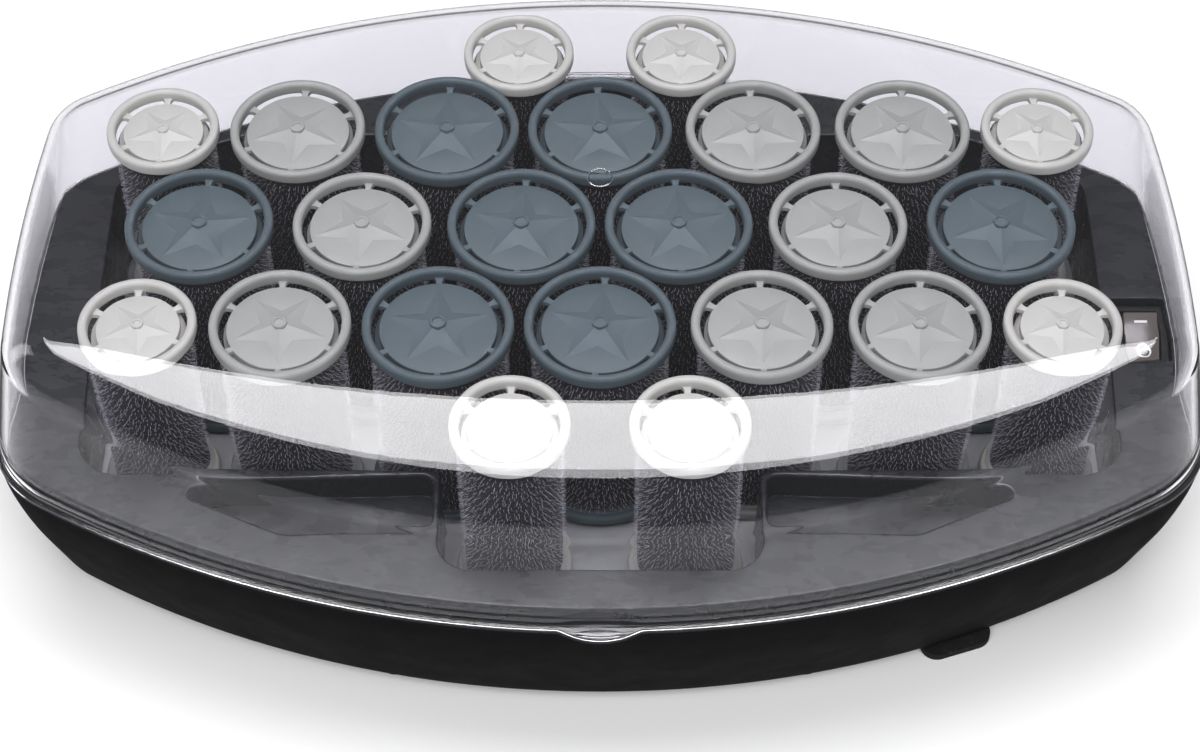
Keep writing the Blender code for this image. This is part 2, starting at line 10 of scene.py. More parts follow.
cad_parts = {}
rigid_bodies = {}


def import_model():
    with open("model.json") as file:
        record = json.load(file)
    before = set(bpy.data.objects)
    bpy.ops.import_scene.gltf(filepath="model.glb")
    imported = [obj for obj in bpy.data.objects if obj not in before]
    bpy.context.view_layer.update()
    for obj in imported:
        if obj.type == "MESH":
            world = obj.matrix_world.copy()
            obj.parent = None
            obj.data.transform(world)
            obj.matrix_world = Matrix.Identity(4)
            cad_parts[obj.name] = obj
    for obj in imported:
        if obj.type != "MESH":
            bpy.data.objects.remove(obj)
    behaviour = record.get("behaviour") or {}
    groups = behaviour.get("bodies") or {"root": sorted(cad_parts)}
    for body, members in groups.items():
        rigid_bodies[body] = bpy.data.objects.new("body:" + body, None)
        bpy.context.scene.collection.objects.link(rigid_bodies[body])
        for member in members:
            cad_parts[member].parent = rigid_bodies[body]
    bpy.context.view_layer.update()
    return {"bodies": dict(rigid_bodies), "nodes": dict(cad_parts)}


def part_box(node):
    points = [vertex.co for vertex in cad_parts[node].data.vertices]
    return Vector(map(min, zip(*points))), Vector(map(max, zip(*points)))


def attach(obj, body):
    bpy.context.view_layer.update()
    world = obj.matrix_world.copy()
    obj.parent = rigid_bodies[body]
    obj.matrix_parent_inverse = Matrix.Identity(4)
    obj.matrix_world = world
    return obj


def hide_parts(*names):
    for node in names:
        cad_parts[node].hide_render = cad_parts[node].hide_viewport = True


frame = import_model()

MM = 0.001
RIGHT_ANGLE = math.pi / 2

# ---- plan outline at the rim: four shallow arcs joined by round corners ----
LID_LOW, LID_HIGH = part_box("lid")
HALF_WIDTH = LID_HIGH.x
TAB_REACH = 3.0 * MM
FRONT_Y = LID_LOW.y + TAB_REACH
BACK_Y = 96.7 * MM
END_RADIUS = 290.0 * MM
SIDE_RADIUS = 500.0 * MM
SIDE_Y = -19.0 * MM
FRONT_CORNER = 30.0 * MM
BACK_CORNER = 24.0 * MM
OUTLINE_STEPS = (72, 18, 16, 16, 30)   # front, corner, side, corner, back; each half

# ---- tray ----
TRAY_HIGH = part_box("tray")[1]
LEDGE_Z = TRAY_HIGH.z
TRAY_INSET = HALF_WIDTH - TRAY_HIGH.x
WELL_BOTTOM_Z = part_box("large_roller_1_barrel")[0].z
TRAY_SKIN = 2.0 * MM
TRAY_SKIRT_Z = 46.0 * MM
WELL_HALF_WIDTH = 137.5 * MM
WELL_FRONT_Y = -51.2 * MM
WELL_BACK_Y = 68.7 * MM
WELL_BAY_HALF = 41.8 * MM
WELL_BAY_FRONT_Y = -84.5 * MM
WELL_BAY_BACK_Y = 88.7 * MM
POCKET_DEPTH = 10.0 * MM
SEAT_Z = 52.0 * MM                      # shelf that the switch's bezel rests on

# ---- lid ----
LID_WALL = 1.8 * MM
LID_FLANGE = 1.8 * MM
LID_FOOT_INSET = 1.2 * MM
SHOULDER_INSET = 7.0 * MM
CROWN = 2.0 * MM
LID_TOP_Z = 97.0 * MM
LID_ROUND = 12.0 * MM
FLANGE_Z = 50.3 * MM
CREASE_Y = -63.0 * MM                   # where the top starts to slope down, at the middle
CREASE_RADIUS = 420.0 * MM              # plan radius of that line
SLOPE = math.tan(math.radians(27.0))    # slope reached at the shoulder
SLOPE_POWER = 1.6
SLOPE_HALF = 150.0 * MM                 # how far from the middle plane it fades out
SHOULDER_START = math.radians(10.0)
SHOULDER_STEPS = 24
CROWN_SHARES = [0.04, 0.12, 0.24, 0.38, 0.52, 0.64] + [0.70 + 0.025 * step for step in range(12)]
WALL_ROWS = 8
TAB_HALF = 10.5 * MM
TAB_EYE_HALF = 7.6 * MM
TAB_EYE_DEPTH = 1.4 * MM
GATE_Y = 12.0 * MM
GATE_RISE = 1.86 * MM                   # of the crown's face there, above LID_TOP_Z

# ---- heater ----
PLATE_TOP_Z = 24.2 * MM

# ---- hinge ----
PIN_LOW, PIN_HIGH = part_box("hinge_pin")
HINGE_Y = (PIN_LOW.y + PIN_HIGH.y) / 2
HINGE_Z = (PIN_LOW.z + PIN_HIGH.z) / 2
HINGE_RADIUS = 3.2 * MM
KNUCKLE_HALF = 9.7 * MM
EAR_IN = 10.2 * MM
EAR_OUT = 36.0 * MM

# ---- switch ----
SWITCH_LOW, SWITCH_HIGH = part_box("switch_body")
SWITCH_X = (SWITCH_LOW.x + SWITCH_HIGH.x) / 2
SWITCH_Y = (SWITCH_LOW.y + SWITCH_HIGH.y) / 2
PIVOT_Z = 49.0 * MM
ROCKER_TIP = math.radians(11.0)

# ---- fixings ----
SCREW_PLACES = [(side * x * MM, y * MM) for x, y in ((55.0, -77.5), (141.8, -33.0), (52.0, 73.2))
                for side in (-1, 1)]
OUTLET = (95.0 * MM, 73.5 * MM, 17.5 * MM)
TO_BACK = (-RIGHT_ANGLE, 0.0, 0.0)      # turns a piece's Z axis to point backwards

# ---- rollers ----
KINDS = ("small", "medium", "large")
ROLLERS = sorted(name for name in frame["bodies"] if "_roller_" in name)
POST_BORE = 6.4 * MM
SLEEVE_THICKNESS = 2.0 * MM
RING_WIDTH = 2.3 * MM
SLOT_WIDTH = 2.1 * MM
DISC_DROP = 2.3 * MM
STAR_RISE = 0.15               # height of a star, as a share of its disc's radius
HOOK_PITCH = 1.35 * MM
HOOK_HEIGHT = 1.15 * MM
HOOK_THICKNESS = 0.046 * MM
HOOK_PATH = [(0.0, -0.1), (0.1, 0.7), (0.55, 1.0), (1.1, 0.75)]    # (sideways, outward)


# ==== materials ==============================
def srgb(red, green, blue):
    """Linear colour of an sRGB colour given from 0 to 255."""
    linear = []
    for value in (red, green, blue):
        value /= 255.0
        linear.append(value / 12.92 if value <= 0.04045 else ((value + 0.055) / 1.055) ** 2.4)
    return tuple(linear)


class Shading:
    """A material under construction: its nodes, its links and its Principled shader."""

    def __init__(self, name):
        self.material = bpy.data.materials.new(name)
        self.material.use_nodes = True
        self.tree = self.material.node_tree
        self.shader = self.tree.nodes["Principled BSDF"]
        self.output = self.tree.nodes["Material Output"]
        self.place = self.node("ShaderNodeTexCoord").outputs["Object"]

    def node(self, kind, **settings):
        made = self.tree.nodes.new(kind)
        for key, value in settings.items():
            setattr(made, key, value)
        return made

    def link(self, source, target):
        self.tree.links.new(source, target)

    def give(self, socket, value):
        """Feed one of the shader's sockets from a node's output, or set it."""
        target = self.shader.inputs[socket]
        if isinstance(value, bpy.types.NodeSocket):
            self.link(value, target)
        else:
            target.default_value = value

    def noise(self, scale, detail=3.0, roughness=0.55, stretch=None):
        texture = self.node("ShaderNodeTexNoise")
        texture.inputs["Scale"].default_value = scale
        texture.inputs["Detail"].default_value = detail
        texture.inputs["Roughness"].default_value = roughness
        source = self.place
        if stretch:
            mapping = self.node("ShaderNodeMapping")
            mapping.inputs["Scale"].default_value = stretch
            self.link(source, mapping.inputs["Vector"])
            source = mapping.outputs["Vector"]
        self.link(source, texture.inputs["Vector"])
        return texture.outputs["Fac"]

    def between(self, source, low, high, start=0.3, end=0.7):
        """A number that runs from low to high as source runs from start to end."""
        span = self.node("ShaderNodeMapRange")
        for key, value in (("From Min", start), ("From Max", end), ("To Min", low),
                           ("To Max", high)):
            span.inputs[key].default_value = value
        self.link(source, span.inputs["Value"])
        return span.outputs["Result"]

    def mix(self, share, first, second):
        """Blend of two colours; each is a colour or a node's output."""
        blend = self.node("ShaderNodeMix", data_type="RGBA")
        self.link(share, blend.inputs[0])
        for socket, colour in ((blend.inputs[6], first), (blend.inputs[7], second)):
            if isinstance(colour, tuple):
                socket.default_value = (*colour, 1.0)
            else:
                self.link(colour, socket)
        return blend.outputs[2]

    def bump(self, heights):
        """Chain of bumps from (height output, distance, strength)."""
        normal = None
        for height, distance, strength in heights:
            bump = self.node("ShaderNodeBump")
            bump.inputs["Distance"].default_value = distance
            bump.inputs["Strength"].default_value = strength
            self.link(height, bump.inputs["Height"])
            if normal:
                self.link(normal, bump.inputs["Normal"])
            normal = bump.outputs["Normal"]
        self.link(normal, self.shader.inputs["Normal"])

    def edges(self, low=0.50, high=0.56):
        """0 on flat and hollow places, 1 along outer edges."""
        return self.between(self.node("ShaderNodeNewGeometry").outputs["Pointiness"],
                            0.0, 1.0, low, high)


def lighter(colour, factor):
    return tuple(min(1.0, channel * factor) for channel in colour)


def moulded_plastic(name, colour, roughness, grain=1400.0, depth=0.00003, edge=1.35,
                    specular=0.5, blotch=0.06):
    """Injection-moulded plastic: fine spark grain, faint flow blotches, base colour lighter along
    outer edges.
    """
    look = Shading(name)
    blotches = look.noise(38.0, 4.0)
    tone = look.mix(blotches, lighter(colour, 1.0 - blotch), lighter(colour, 1.0 + blotch))
    dust = look.between(look.noise(5200.0, 2.0), 0.0, 0.35, 0.62, 0.74)
    dusty = look.mix(dust, tone, lighter(colour, 1.25))
    # base colour made lighter along outer edges (pointiness mask), by the edge factor
    edge_lightened = look.mix(look.edges(), dusty, lighter(colour, edge))
    look.give("Base Color", edge_lightened)
    smear = look.noise(90.0, 5.0, 0.6, (1.0, 2.2, 1.0))
    look.give("Roughness", look.between(smear, roughness - 0.05, roughness + 0.07))
    look.give("Specular IOR Level", specular)
    look.bump([(look.noise(grain, 3.0, 0.65), depth, 0.5),
               (look.noise(60.0, 2.0), 0.0002, 0.12)])
    return look.material


def clear_plastic(name):
    """Polished clear plastic, faintly lilac, with hairline scratches and a few smears."""
    look = Shading(name)
    look.give("Transmission Weight", 1.0)
    look.give("IOR", 1.47)
    look.give("Base Color", (0.955, 0.950, 0.985, 1.0))
    smears = look.noise(26.0, 5.0, 0.6, (1.0, 0.5, 1.0))
    look.give("Roughness", look.between(smears, 0.0, 0.015, 0.50, 0.80))
    scratches = look.noise(700.0, 1.0, 0.4, (1.0, 0.03, 0.2))
    look.bump([(look.between(scratches, 0.0, 1.0, 0.70, 0.74), 0.000001, 0.05)])
    surface = look.shader.outputs["BSDF"]
    path = look.node("ShaderNodeLightPath")
    for ray in ("Is Diffuse Ray", "Is Shadow Ray"):
        clear = look.node("ShaderNodeBsdfTransparent")
        clear.inputs["Color"].default_value = (0.945, 0.940, 0.965, 1.0)
        blend = look.node("ShaderNodeMixShader")
        look.link(path.outputs[ray], blend.inputs["Fac"])
        look.link(surface, blend.inputs[1])
        look.link(clear.outputs["BSDF"], blend.inputs[2])
        surface = blend.outputs["Shader"]
    look.link(surface, look.output.inputs["Surface"])
    return look.material


def metal(name, colour, roughness, stretch, depth=0.00002):
    """Worked metal: streaks along the direction in which it was drawn or turned."""
    look = Shading(name)
    streaks = look.noise(260.0, 5.0, 0.65, stretch)
    tone = look.mix(streaks, lighter(colour, 0.82), lighter(colour, 1.08))
    stain = look.between(look.noise(45.0, 4.0), 0.0, 0.5, 0.55, 0.80)
    look.give("Base Color", look.mix(stain, tone, lighter(colour, 0.6)))
    look.give("Metallic", 1.0)
    look.give("Roughness", look.between(streaks, roughness - 0.08, roughness + 0.12))
    look.bump([(streaks, depth, 0.5), (look.noise(1900.0, 2.0), 0.00001, 0.3)])
    return look.material


def rubber(name):
    look = Shading(name)
    tone = look.mix(look.noise(120.0, 4.0), (0.010, 0.010, 0.011), (0.022, 0.022, 0.023))
    dust = look.between(look.noise(900.0, 5.0), 0.0, 0.6, 0.58, 0.75)
    look.give("Base Color", look.mix(dust, tone, (0.060, 0.058, 0.055)))
    look.give("Roughness", look.between(look.noise(300.0), 0.62, 0.85))
    look.bump([(look.noise(1500.0, 4.0), 0.00008, 0.6)])
    return look.material


def velvet_cloth(name):
    """Knitted backing of the sleeves: near-black purple grey with pale nap."""
    look = Shading(name)
    knit = look.node("ShaderNodeTexVoronoi")
    knit.inputs["Scale"].default_value = 1500.0
    look.link(look.place, knit.inputs["Vector"])
    cells = look.between(knit.outputs["Distance"], 0.0, 1.0, 0.10, 0.60)
    tone = look.mix(cells, (0.0035, 0.0031, 0.0045), (0.0130, 0.0115, 0.0160))
    nap = look.between(look.noise(2600.0, 3.0, 0.7), 0.0, 1.0, 0.60, 0.70)
    look.give("Base Color", look.mix(nap, tone, (0.050, 0.047, 0.058)))
    look.give("Roughness", 0.92)
    look.give("Specular IOR Level", 0.25)
    look.give("Sheen Weight", 0.12)
    look.give("Sheen Roughness", 0.45)
    look.bump([(cells, 0.0003, 0.8), (look.noise(3800.0, 3.0), 0.0001, 0.6)])
    return look.material


def mottled(name, dark, pale, tone, rough, bump):
    """One colour that varies: tone is a noise's scale and detail; rough its scale, low and
    high; bump its scale, detail, distance and strength."""
    look = Shading(name)
    look.give("Base Color", look.mix(look.noise(*tone), dark, pale))
    look.give("Roughness", look.between(look.noise(rough[0]), rough[1], rough[2]))
    look.bump([(look.noise(bump[0], bump[1]), bump[2], bump[3])])
    return look


def hook_nylon(name):
    """The sleeve's hooks: translucent pale nylon, lighter towards some tips."""
    return mottled(name, (0.16, 0.15, 0.18), (0.85, 0.83, 0.90), (900.0, 3.0),
                   (1500.0, 0.25, 0.45), (4000.0, 2.0, 0.00002, 0.4)).material


def printed_white(name):
    return mottled(name, (0.70, 0.70, 0.69), (0.86, 0.86, 0.85), (2500.0, 4.0),
                   (1200.0, 0.40, 0.60), (3000.0, 3.0, 0.00002, 0.4)).material


def studio_floor(name):
    look = mottled(name, (0.86, 0.86, 0.865), (0.89, 0.89, 0.89), (3.0, 3.0),
                   (20.0, 0.75, 0.85), (400.0, 4.0, 0.0002, 0.15))
    look.give("Specular IOR Level", 0.15)
    return look.material


LOOKS = {
    "black_plastic": moulded_plastic("black_plastic", srgb(13, 13, 14), 0.50, 1500.0, 0.00005,
                                     1.25, specular=0.22),
    "tray_plastic": moulded_plastic("tray_plastic", srgb(33, 35, 37), 0.27, 1700.0, 0.00003,
                                    1.30, specular=0.38),
    "clear_plastic": clear_plastic("clear_plastic"),
    "steel": metal("steel", (0.56, 0.56, 0.57), 0.28, (0.05, 1.0, 1.0)),
    "aluminium": metal("aluminium", (0.34, 0.345, 0.355), 0.46, (1.0, 1.0, 0.15), 0.00004),
    "rubber": rubber("rubber"),
    "rocker_plastic": moulded_plastic("rocker_plastic", srgb(86, 80, 76), 0.20, 1200.0,
                                      0.00001, 1.2),
    "slate_plastic": moulded_plastic("slate_plastic", srgb(68, 79, 83), 0.50, edge=1.45,
                                     specular=0.25),
    "grey_plastic": moulded_plastic("grey_plastic", srgb(146, 148, 143), 0.48, edge=1.15,
                                    specular=0.35),
    "pale_plastic": moulded_plastic("pale_plastic", srgb(182, 182, 175), 0.48, edge=1.10,
                                    specular=0.35),
    "velvet": velvet_cloth("velvet"),
    "hook_nylon": hook_nylon("hook_nylon"),
    "printed_white": printed_white("printed_white"),
}
ROLLER_SLOTS = {"large": "slate_plastic", "medium": "grey_plastic", "small": "pale_plastic"}


# ==== outlines ==============================
def arc(centre, radius, start, end, steps):
    """Points on an arc from start up to, but not including, end."""
    points = []
    for step in range(steps):
        angle = start + (end - start) * step / steps
        points.append((centre[0] + radius * math.cos(angle),
                       centre[1] + radius * math.sin(angle)))
    return points


def circle(x, y, radius, sides):
    return arc((x, y), radius, 0.0, 2 * math.pi, sides)


def bearing(centre, point):
    return math.atan2(point[1] - centre[1], point[0] - centre[0])


def corner_centre(end_centre, end_reach, side_centre, side_reach, upper):
    """Centre of the corner arc that lies at a given reach from two arc centres."""
    dx = side_centre[0] - end_centre[0]
    dy = side_centre[1] - end_centre[1]
    apart = math.hypot(dx, dy)
    along = (end_reach ** 2 - side_reach ** 2 + apart ** 2) / (2 * apart)
    across = math.sqrt(end_reach ** 2 - along ** 2)
    turn = 1.0 if upper else -1.0
    return (end_centre[0] + (along * dx - turn * across * dy) / apart,
            end_centre[1] + (along * dy + turn * across * dx) / apart)


def plan_outline(inset):
    """The rim's plan shape, shrunk inwards by inset, as a counter-clockwise loop."""
    front = (0.0, FRONT_Y + END_RADIUS)
    back = (0.0, BACK_Y - END_RADIUS)
    side = (HALF_WIDTH - SIDE_RADIUS, SIDE_Y)
    low = corner_centre(front, END_RADIUS - FRONT_CORNER,
                        side, SIDE_RADIUS - FRONT_CORNER, True)
    high = corner_centre(back, END_RADIUS - BACK_CORNER,
                         side, SIDE_RADIUS - BACK_CORNER, False)
    front_turn = bearing(front, low)
    side_start = bearing(side, low)
    side_end = bearing(side, high)
    back_turn = bearing(back, high)
    steps = OUTLINE_STEPS
    right = arc(front, END_RADIUS - inset, -RIGHT_ANGLE, front_turn, steps[0])
    right += arc(low, FRONT_CORNER - inset, front_turn, side_start, steps[1])
    right += arc(side, SIDE_RADIUS - inset, side_start, side_end, steps[2])
    right += arc(high, BACK_CORNER - inset, side_end, back_turn, steps[3])
    right += arc(back, END_RADIUS - inset, back_turn, RIGHT_ANGLE, steps[4])
    top = (0.0, back[1] + END_RADIUS - inset)
    left = [(-x, y) for x, y in reversed(right[1:])]
    return right + [top] + left


def filleted(corners, grow=0.0, turn_step=7.0):
    """Loop through corners (x, y, radius), each rounded, grown outwards by grow."""
    count = len(corners)
    lines = []
    for index in range(count):
        x0, y0, _ = corners[index]
        x1, y1, _ = corners[(index + 1) % count]
        length = math.hypot(x1 - x0, y1 - y0)
        ux, uy = (x1 - x0) / length, (y1 - y0) / length
        lines.append((x0 + uy * grow, y0 - ux * grow, ux, uy))
    points = []
    for index in range(count):
        ax, ay, aux, auy = lines[index - 1]
        bx, by, bux, buy = lines[index]
        turn = aux * buy - auy * bux
        along = ((bx - ax) * buy - (by - ay) * bux) / turn
        x, y = ax + aux * along, ay + auy * along
        side = 1.0 if turn > 0 else -1.0
        radius = corners[index][2] + side * grow
        bend = abs(math.atan2(turn, aux * bux + auy * buy))
        back_off = radius * math.tan(bend / 2)
        cx = x - aux * back_off - auy * radius * side
        cy = y - auy * back_off + aux * radius * side
        start = math.atan2(-aux * side, auy * side)
        steps = max(2, round(bend / math.radians(turn_step)))
        end = start + side * bend
        points += arc((cx, cy), radius, start, end, steps)
        points.append((cx + radius * math.cos(end), cy + radius * math.sin(end)))
    return points


def rectangle(x, y, width, depth, radius):
    """Corners of a rectangle for filleted()."""
    return [(x - width / 2, y - depth / 2, radius), (x + width / 2, y - depth / 2, radius),
            (x + width / 2, y + depth / 2, radius), (x - width / 2, y + depth / 2, radius)]


def well_corners():
    """Plan shape of the well: a wide slot with a bay at the front and at the back."""
    half = WELL_HALF_WIDTH
    bay = WELL_BAY_HALF
    right = [(bay, WELL_BAY_FRONT_Y, 9 * MM), (bay, WELL_FRONT_Y, 3 * MM),
             (half, WELL_FRONT_Y - 3 * MM, 12 * MM), (half, 53.5 * MM, 13 * MM),
             (103 * MM, WELL_BACK_Y, 16 * MM), (bay, WELL_BACK_Y, 3 * MM),
             (bay, WELL_BAY_BACK_Y, 14 * MM)]
    left = [(-x, y, radius) for x, y, radius in reversed(right)]
    return right + left


def pocket_corners(side):
    """Plan shape of one clip pocket, a wedge with its thin end outwards."""
    wedge = [(-113.5 * MM, -58.5 * MM, 2.2 * MM), (-82.1 * MM, -73.2 * MM, 8 * MM),
             (-43.6 * MM, -72.2 * MM, 3 * MM), (-43.6 * MM, -53.2 * MM, 3 * MM)]
    if side < 0:
        return wedge
    return [(-x, y, radius) for x, y, radius in reversed(wedge)]


def smooth_profile(points, per_span):
    """Points on a smooth curve through a profile's points."""
    padded = [points[0]] + list(points) + [points[-1]]
    curve = []
    for p0, p1, p2, p3 in zip(padded, padded[1:], padded[2:], padded[3:]):
        for step in range(per_span):
            t = step / per_span
            curve.append(tuple(0.5 * (2 * b + (c - a) * t + (2 * a - 5 * b + 4 * c - d) * t * t
                                      + (3 * b - a - 3 * c + d) * t ** 3)
                               for a, b, c, d in zip(p0, p1, p2, p3)))
    curve.append(points[-1])
    return curve


# ==== mesh tools ==============================
def add_loop(bm, outline, z=None):
    """Vertices of a loop; outline holds (x, y) if z is given, else (x, y, z)."""
    if z is None:
        return [bm.verts.new(point) for point in outline]
    return [bm.verts.new((x, y, z)) for x, y in outline]


def skin(bm, loops, slot=0):
    """Bands of quads between loops of equal length; a loop of one vertex is a pole."""
    for first, second in zip(loops, loops[1:]):
        count = max(len(first), len(second))
        for index in range(count):
            nearest = (index + 1) % count
            if len(first) == 1:
                corners = (first[0], second[nearest], second[index])
            elif len(second) == 1:
                corners = (first[index], first[nearest], second[0])
            else:
                corners = (first[index], first[nearest], second[nearest], second[index])
            bm.faces.new(corners).material_index = slot


def fill(bm, loops):
    """Flat fill between an outer loop and any holes in it."""
    edges = []
    for verts in loops:
        for first, second in zip(verts, verts[1:] + verts[:1]):
            edges.append(bm.edges.get((first, second)) or bm.edges.new((first, second)))
    bmesh.ops.triangle_fill(bm, use_beauty=True, use_dissolve=False, edges=edges)


def mesh_of(name, bm, materials, smooth_angle=35.0):
    bmesh.ops.recalc_face_normals(bm, faces=bm.faces)
    mesh = bpy.data.meshes.new(name)
    bm.to_mesh(mesh)
    bm.free()
    mesh.shade_smooth()
    mesh.set_sharp_from_angle(angle=math.radians(smooth_angle))
    for key in materials:
        mesh.materials.append(LOOKS[key])
    return mesh


def place(name, mesh, location=(0, 0, 0), rotation=(0, 0, 0)):
    made = bpy.data.objects.new(name, mesh)
    bpy.context.collection.objects.link(made)
    made.location = location
    made.rotation_euler = rotation
    return made


def finish_piece(obj, body, slot, *nodes):
    """Ride on a body and stand for CAD nodes; slot is not used."""
    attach(obj, body)
    if nodes:
        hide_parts(*nodes)


def make_piece(name, bm, body, slot, *nodes, at=(0, 0, 0), turn=(0, 0, 0), smooth=35.0,
               look=None):
    """Turn a bmesh into a finished piece; look is its material where that isn't its slot."""
    made = place(name, mesh_of(name, bm, [look or slot], smooth), at, turn)
    finish_piece(made, body, slot, *nodes)
    return made


def flat_first(obj):
    """Let the large flat faces keep their own normals beside a rounded edge."""
    weighted = obj.modifiers.new("flat_first", "WEIGHTED_NORMAL")
    weighted.keep_sharp = True
    weighted.weight = 90


def add_turned(bm, profile, sides, closed=True, slot=0):
    """Solid of revolution about Z from an (r, z) profile; r = 0 makes a pole."""
    loops = []
    for radius, z in profile:
        if radius == 0.0:
            loops.append([bm.verts.new((0.0, 0.0, z))])
        else:
            loops.append(add_loop(bm, circle(0.0, 0.0, radius, sides), z))
    skin(bm, loops, slot)
    if closed:
        skin(bm, [loops[-1], loops[0]], slot)


def add_solid(bm, loops):
    """Skinned loops with a flat cap at each end."""
    skin(bm, loops)
    bm.faces.new(loops[0])
    bm.faces.new(loops[-1])


def add_bar(bm, sections):
    """A solid through closed (x, y, z) sections."""
    add_solid(bm, [add_loop(bm, section) for section in sections])


def add_prism(bm, outline, low, high):
    add_solid(bm, [add_loop(bm, outline, z) for z in (low, high)])


def round_edge(top, radius, steps=4):
    """(grow, z) down a rounded hole edge, from the flat face to the upright wall."""
    rings = []
    for step in range(steps + 1):
        angle = RIGHT_ANGLE * step / steps
        rings.append((radius * (1 - math.sin(angle)), top - radius * (1 - math.cos(angle))))
    return rings


def baked_boolean(obj, tools):
    """Apply exact Booleans (tool, operation) to obj and remove the tools."""
    for tool, operation in tools:
        modifier = obj.modifiers.new(operation, "BOOLEAN")
        modifier.operation = operation
        modifier.solver = "EXACT"
        modifier.object = tool
    bpy.context.view_layer.update()
    evaluated = obj.evaluated_get(bpy.context.evaluated_depsgraph_get())
    result = bpy.data.meshes.new_from_object(evaluated)
    obj.modifiers.clear()
    obj.data = result
    result.shade_smooth()
    result.set_sharp_from_angle(angle=math.radians(35))
    for tool, _ in tools:
        bpy.data.objects.remove(tool, do_unlink=True)


# ==== lid ==============================
def plan_normals():
    """Outward direction at each point of the plan outline."""
    reach = 1.0 * MM
    pairs = zip(plan_outline(0.0), plan_outline(reach))
    return [((x0 - x1) / reach, (y0 - y1) / reach) for (x0, y0), (x1, y1) in pairs]


PLAN = list(zip(plan_outline(0.0), plan_normals()))


def plan_ring(inset, z):
    """The plan outline moved inwards by inset, at one height."""
    return [(x - nx * inset, y - ny * inset, z) for (x, y), (nx, ny) in PLAN]


def droop(x, y):
    """How far the lid's top and shoulder are lowered at (x, y), to slope at the front."""
    crease = CREASE_Y + x * x / (2 * CREASE_RADIUS)
    shoulder = FRONT_Y + END_RADIUS - math.sqrt((END_RADIUS - SHOULDER_INSET) ** 2 - x * x)
    width = max(0.0, crease - shoulder)
    if width == 0.0 or y > crease:
        return 0.0
    share = min(1.0, (crease - y) / width)
    fade = max(0.0, 1.0 - abs(x / SLOPE_HALF) ** 8)
    return width * SLOPE / SLOPE_POWER * fade * share ** SLOPE_POWER


def shoulder_ring(step, inward):
    """One ring of the shoulder, from its wall (step 0) to its top; inward is from outside."""
    angle = SHOULDER_START + (RIGHT_ANGLE - SHOULDER_START) * step / SHOULDER_STEPS
    radius = LID_ROUND - inward
    inset = SHOULDER_INSET + LID_ROUND - radius * math.cos(angle)
    z = LID_TOP_Z - LID_ROUND + radius * math.sin(angle)
    return plan_ring(inset, z)


def lid_face(inward, foot_inset, foot_z):
    """Rings down one face of the lid, from the crown's middle to the foot of the wall."""
    shoulder = [shoulder_ring(step, inward) for step in range(SHOULDER_STEPS, -1, -1)]
    middle = (FRONT_Y + BACK_Y) / 2
    rings = []
    for share in CROWN_SHARES:
        z = LID_TOP_Z - inward + CROWN * (1 - share ** 2) ** 2
        rings.append([(x * share, middle + (y - middle) * share, z) for x, y, _ in shoulder[0]])
    rings = [[(x, y, z - droop(x, y)) for x, y, z in ring] for ring in rings + shoulder]
    foot = plan_ring(foot_inset, foot_z)
    high_ring = rings[-1]
    for row in range(1, WALL_ROWS + 1):
        share = row / WALL_ROWS
        rings.append([tuple(a + (b - a) * share for a, b in zip(high, low))
                      for high, low in zip(high_ring, foot)])
    return rings


def flange_ring(inset, z):
    """One ring of the flange, with the thumb tab's bulge at the front."""
    ring = []
    for (x, y), (nx, ny) in PLAN:
        bulge = 0.0
        if y < 0.0 and abs(x) < TAB_HALF:
            bulge = TAB_REACH * (1 - (x / TAB_HALF) ** 2)
        ring.append((x - nx * inset, y - ny * inset - bulge, z))
    return ring


def make_lid():
    top = FLANGE_Z + LID_FLANGE
    bottom = FLANGE_Z
    rings = lid_face(0.0, LID_FOOT_INSET, top + 0.4 * MM)
    rings += [plan_ring(1.0 * MM, top + 0.1 * MM), plan_ring(0.8 * MM, top)]
    edge = 0.45 * MM
    rings += [flange_ring(inset, z) for inset, z in round_edge(top, edge)]
    rings += [flange_ring(inset, bottom + top - z)
              for inset, z in reversed(round_edge(top, edge))]
    inner_foot = LID_FOOT_INSET + LID_WALL
    rings += [plan_ring(inner_foot - 0.3 * MM, bottom), plan_ring(inner_foot, bottom + 0.3 * MM)]
    rings += reversed(lid_face(LID_WALL, inner_foot, bottom + 0.8 * MM))
    bm = bmesh.new()
    add_bar(bm, rings)
    make_piece("lid_shell", bm, "lid", "clear_plastic", "lid", smooth=40.0)


def make_knuckle():
    """The lid's half of the hinge, curled round the pin."""
    start, end = math.radians(62), math.radians(-152)
    barrel = arc((HINGE_Y, HINGE_Z), HINGE_RADIUS, start, end, 26)
    profile = [(BACK_Y - 1.0 * MM, 52.0 * MM), (BACK_Y + 1.6 * MM, 51.6 * MM)] + barrel
    profile += [(HINGE_Y - 2.9 * MM, HINGE_Z - 0.6 * MM), (BACK_Y + 0.9 * MM, 49.2 * MM),
                (BACK_Y - 1.0 * MM, 50.4 * MM)]
    middle = (HINGE_Y, HINGE_Z)
    sections = []
    for x, shrink in ((-1.0, 0.90), (-0.97, 0.98), (-0.93, 1.0), (0.93, 1.0), (0.97, 0.98),
                      (1.0, 0.90)):
        sections.append([(x * KNUCKLE_HALF, middle[0] + (y - middle[0]) * shrink,
                          middle[1] + (z - middle[1]) * shrink) for y, z in profile])
    bm = bmesh.new()
    add_bar(bm, sections)
    make_piece("lid_knuckle", bm, "lid", "clear_plastic", smooth=40.0)


def make_gate_mark():
    """The low ring left on the crown where the plastic was injected."""
    bm = bmesh.new()
    gate = [(3.55 * MM, -0.10 * MM), (3.50 * MM, 0.14 * MM), (3.25 * MM, 0.22 * MM),
            (3.00 * MM, 0.14 * MM), (2.95 * MM, -0.10 * MM)]
    add_turned(bm, gate, 48)
    make_piece("lid_gate_mark", bm, "lid", "clear_plastic",
               at=(0.0, GATE_Y, LID_TOP_Z + GATE_RISE))


